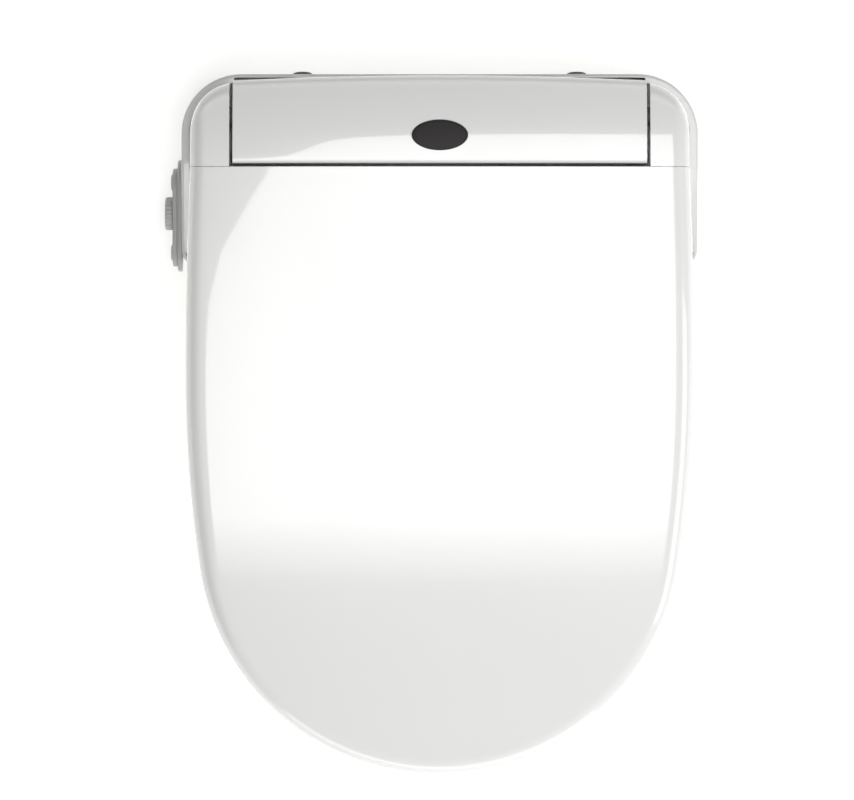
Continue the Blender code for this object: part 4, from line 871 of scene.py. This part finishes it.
def lid_plan(inset, rear_y, side_steps=20, arc_steps=14, front_steps=44):
    """Plan points from the right rear corner round the front to the left, moved in by inset."""
    reach = LID_WIDEST_Y - TIP_Y
    spare = 2 * SIDE_RADIUS * LID_HALF_WIDTH - LID_HALF_WIDTH ** 2 - reach ** 2
    front = spare / (2 * (SIDE_RADIUS - reach))
    centre_y = TIP_Y + front
    side_x = LID_HALF_WIDTH - SIDE_RADIUS
    meet = math.atan2(LID_WIDEST_Y - centre_y, -side_x)
    points = []
    for i in range(side_steps):
        y = rear_y + (LID_WIDEST_Y - rear_y) * i / side_steps
        points.append((side_half_width(y) - inset, y))
    for i in range(arc_steps):
        turn = meet * i / arc_steps
        points.append((side_x + (SIDE_RADIUS - inset) * math.cos(turn),
                       LID_WIDEST_Y - (SIDE_RADIUS - inset) * math.sin(turn)))
    for i in range(front_steps):
        turn = meet + (math.pi / 2 - meet) * i / front_steps
        points.append(((front - inset) * math.cos(turn), centre_y - (front - inset) * math.sin(turn)))
    return points + [(0, TIP_Y + inset)] + [(-x, y) for x, y in reversed(points)]


def seat_bottom(y):
    return SEAT_BOTTOM_REAR_Z - SEAT_BOTTOM_SLOPE * (SEAT_REAR_Y - y)


def seat_top(share, y):
    """Height of the ring's top across its width, from outer edge 0 to hole edge 1."""
    outer = 0.010 * max(0, 1 - share / 0.14) ** 2
    inner = 0.011 * max(0, (share - 0.80) / 0.20) ** 2
    dish = 0.0025 * math.sin(math.pi * min(1, max(0, (share - 0.1) / 0.8)))
    return seat_bottom(y) + SEAT_THICKNESS - outer - inner - dish


def seat_edges():
    """Matching plan points of the ring's outer edge and of its hole."""
    path = lid_plan(SEAT_INSET, SEAT_REAR_Y, 18)
    edge_x = path[0][0]
    corner = []
    for i in range(1, 7):
        turn = math.pi / 2 * i / 7
        corner.append((edge_x - SEAT_CORNER * (1 - math.sin(turn)),
                       SEAT_REAR_Y - SEAT_CORNER * (1 - math.cos(turn))))
    rear = [((edge_x - SEAT_CORNER) * (i - 16) / 16, SEAT_REAR_Y) for i in range(33)]
    start = (edge_x, SEAT_REAR_Y - SEAT_CORNER)
    loop = [start] + [p for p in path if p[1] < start[1] - 0.001] + [(-start[0], start[1])]
    loop += [(-x, y) for x, y in reversed(corner)] + rear + corner
    hole = []
    for x, y in loop:
        turn = math.atan2(y - HOLE_CENTRE_Y, x)
        spread = (abs(math.cos(turn) / HOLE_HALF_X) ** HOLE_SQUARENESS
                  + abs(math.sin(turn) / HOLE_HALF_Y) ** HOLE_SQUARENESS)
        reach = spread ** (-1 / HOLE_SQUARENESS)
        hole.append((reach * math.cos(turn), HOLE_CENTRE_Y + reach * math.sin(turn)))
    return loop, hole


def ring_rows(shares_and_heights):
    """Rows round the ring, each at a share of the way from its outer edge to its hole."""
    loop, hole = seat_edges()
    rows = []
    for share, height in shares_and_heights:
        row = []
        for (ox, oy), (hx, hy) in zip(loop, hole):
            x = ox + (hx - ox) * share
            y = oy + (hy - oy) * share
            row.append((x, y, height(share, y)))
        rows.append(row)
    return rows


def above_bottom(level):
    """A height for ring_rows that stays level above the ring's underside."""
    def height(share, y):
        return seat_bottom(y) + level
    return height


def sheet_shell(name, rows, closed, wall, finish, cap=None):
    """A sheet through rows of points, thickened inwards by wall."""
    bm = bmesh.new()
    grid = [[bm.verts.new(point) for point in row] for row in rows]
    count = len(grid[0])
    for low, high in zip(grid, grid[1:]):
        for i in range(count if closed else count - 1):
            j = (i + 1) % count
            bm.faces.new((low[i], low[j], high[j], high[i]))
    if cap:
        cap(bm, grid[-1])
    piece = new_piece(name, bm, finish)
    solid = piece.modifiers.new("wall", "SOLIDIFY")
    solid.thickness = wall
    solid.offset = -1
    solid.use_even_offset = True
    solid.use_quality_normals = True
    return piece


top_shares = [0, 0.004, 0.012, 0.024, 0.04, 0.06, 0.085, 0.11, 0.14, 0.18, 0.24, 0.32, 0.42, 0.52, 0.62,
              0.72, 0.80, 0.84, 0.88, 0.915, 0.945, 0.97, 0.985, 0.995, 1]
skirt = above_bottom(0.0063)
top_rows = ring_rows([(0, skirt)] + [(s, seat_top) for s in top_shares] + [(1, skirt)])
ring_top = sheet_shell("seat_ring_top", top_rows, True, SEAT_WALL, gloss_white)
fit(settle(ring_top), "seat", "gloss_white", "seat_upper_shell")

levels = [(0, 0.006), (0, 0.0022), (0.003, 0.0010), (0.010, 0.0003), (0.022, 0), (0.2, 0), (0.5, 0),
          (0.8, 0), (0.978, 0), (0.990, 0.0003), (0.997, 0.0010), (1, 0.0022), (1, 0.006)]
lower_rows = ring_rows([(share, above_bottom(level)) for share, level in levels])
ring_bottom = sheet_shell("seat_ring_bottom", lower_rows, True, SEAT_WALL, gloss_white)
fit(settle(ring_bottom), "seat", "gloss_white", "seat_lower_shell")

# Screws close the ring from below, in pairs but for the front one, which is on the middle line.
for number, (x, y) in enumerate([(0.135, -0.09), (0.148, -0.28), (0.085, -0.392), (0, -0.43)]):
    for side in (-1, 1):
        if x or side > 0:
            screw_head(f"ring_screw_{2 * number + (side > 0) + 1}",
                       (side * x, y, seat_bottom(y) + 0.0002), "Z", -1, "seat", 0.0030)

pale_rubber = rubber("pale_rubber", (0.62, 0.62, 0.60))
dress(foil, "seat_heater_mat")
for word in ("left", "right"):
    dress(grey_plastic, f"seat_lug_{word}")
    dress(pale_rubber, f"seat_foot_front_{word}", f"seat_foot_side_{word}")


# ---- Lid: gloss white shell with a fitted satin liner inside ----
# One large moulding in high-gloss ABS with a rounded rim. The liner is welded in to close its
# underside, and it carries two soft stops.
LID_WALL = 0.0026
LID_EDGE = 0.012
LID_FRONT_DROP = 0.055
LID_SKIRT = 0.009
LINER_WALL = 0.002
LINER_REAR_Y = -0.046
LINER_DROP = 0.009


def lid_top(x, y):
    back = SEAM_Y - y
    length = SEAM_Y - TIP_Y
    bend = (LID_FRONT_DROP - LID_REAR_SLOPE * length) / length ** 2
    return LID_REAR_Z - LID_REAR_SLOPE * back - bend * back ** 2 - crown(x)


def closing(bm, row):
    """Joins each point of a U-shaped row to its mirror across the middle."""
    last = len(row) - 1
    for i in range(last // 2):
        corners = list(dict.fromkeys((row[i], row[i + 1], row[last - i - 1], row[last - i])))
        bm.faces.new(corners)


def domed(path, height, shares):
    """Copies of the path drawn in towards the middle line, at the top's height."""
    return [[(x * (1 - s), y, height(x * (1 - s), y)) for x, y in path] for s in shares]


def lid_skirt(y):
    return seat_bottom(y) + LID_SKIRT


dome_shares = [0.02, 0.05, 0.09, 0.14, 0.20, 0.27, 0.35, 0.44, 0.54, 0.65, 0.77, 0.90]
lid_rows = [[(x, y, lid_skirt(y) + up) for x, y in lid_plan(inset, SEAM_Y)]
            for inset, up in ((0.0006, 0), (0.0001, 0.0003), (0, 0.0010))]
for i in range(15):
    turn = math.pi / 2 * i / 14
    inset = LID_EDGE * (1 - math.cos(turn))
    down = LID_EDGE * (1 - math.sin(turn))
    lid_rows.append([(x, y, lid_top(x, y) - down) for x, y in lid_plan(inset, SEAM_Y)])
lid_rows += domed(lid_plan(LID_EDGE, SEAM_Y), lid_top, dome_shares)
lid_cover = sheet_shell("lid_cover", lid_rows, False, LID_WALL, gloss_white, closing)
settle(lid_cover)
fit(soften(lid_cover, 0.0005), "lid", "gloss_white", "lid_shell")


def liner_height(x, y):
    return lid_top(x, y) - LINER_DROP


liner_rows = [[(x, y, liner_height(x, y) + up) for x, y in lid_plan(inset, LINER_REAR_Y)]
              for inset, up in ((0.012, 0.004), (0.0126, 0.0012), (0.0133, 0.0003))]
liner_rows += domed(lid_plan(0.0145, LINER_REAR_Y), liner_height, [0] + dome_shares)
liner = sheet_shell("lid_inner_panel", liner_rows, False, LINER_WALL, satin_white, closing)
fit(settle(liner), "lid", "satin_white", "lid_liner")
dress(pale_rubber, "lid_bumper_left", "lid_bumper_right")


# ---- Ears: rounded cheeks of the lid that hide the hinge ----
# Gloss ABS, moulded separately and fixed to the lid's brackets. They meet the lid at a fine seam
# and turn with it.
REAR_HALF_WIDTH = side_half_width(SEAM_Y)
EAR_INNER_X = REAR_HALF_WIDTH - 0.0296
EAR_CORNER = 0.036
EAR_WALL = 0.0025
EAR_CHEEK_WALL = 0.0020
EAR_BOTTOM_Z = 0.0615
PIN_HOLE_RADIUS = 0.0078


def ear_section(side, x, wall):
    """Side outline of an ear at distance x from the middle; wall above 0 gives its hollow."""
    edge = max(0, LID_EDGE - (REAR_HALF_WIDTH - x))
    drop = LID_EDGE - math.sqrt(max(0, LID_EDGE ** 2 - edge ** 2))
    across = max(0, x - REAR_HALF_WIDTH + EAR_CORNER)
    rear = EAR_REAR_Y - EAR_CORNER + math.sqrt(max(0, EAR_CORNER ** 2 - across ** 2)) - wall
    front = SEAM_Y + 0.0003 if wall == 0 else SEAM_Y - 0.02
    low = EAR_BOTTOM_Z if wall == 0 else EAR_BOTTOM_Z - 0.02
    points = [(front, low)]
    for i in range(19):
        y = front + (rear - LID_EDGE - front) * i / 18
        points.append((y, rear_top(x, y) - drop - wall))
    for i in range(1, 15):
        turn = math.pi / 2 * (1 - i / 14)
        z = rear_top(x, rear - LID_EDGE) - LID_EDGE + LID_EDGE * math.sin(turn)
        points.append((rear - LID_EDGE + LID_EDGE * math.cos(turn), z - drop - wall))
    points.append((rear, low))
    return [(side * x, y, z) for y, z in points]


def across_ear(first_x, edge_xs):
    """Places for sections from first_x to the rounded outer edge, and through it."""
    return [first_x + (edge_xs[0] - first_x) * i / 10 for i in range(10)] + edge_xs


outer_xs = [REAR_HALF_WIDTH - LID_EDGE * (1 - math.cos(math.pi / 2 * (1 - i / 16))) for i in range(17)]
inner_xs = [x - EAR_WALL for x in outer_xs[:-1]]
for side, word in ((1, "left"), (-1, "right")):
    cheek = loft(f"lid_ear_{word}", [ear_section(side, x, 0) for x in across_ear(EAR_INNER_X, outer_xs)],
                 gloss_white)
    hollow = loft("ear_hollow", [ear_section(side, x, EAR_WALL)
                                 for x in across_ear(EAR_INNER_X + EAR_CHEEK_WALL, inner_xs)])
    pin_hole = rod("ear_pin_hole", "X", (HINGE_Y, HINGE_Z), PIN_HOLE_RADIUS, side * (EAR_INNER_X - 0.01),
                   side * (EAR_INNER_X + 0.01))
    settle(cheek, [hollow, pin_hole])
    soften(cheek, 0.0005)
    fit(cheek, "lid", "gloss_white", f"hinge_ear_{word}")
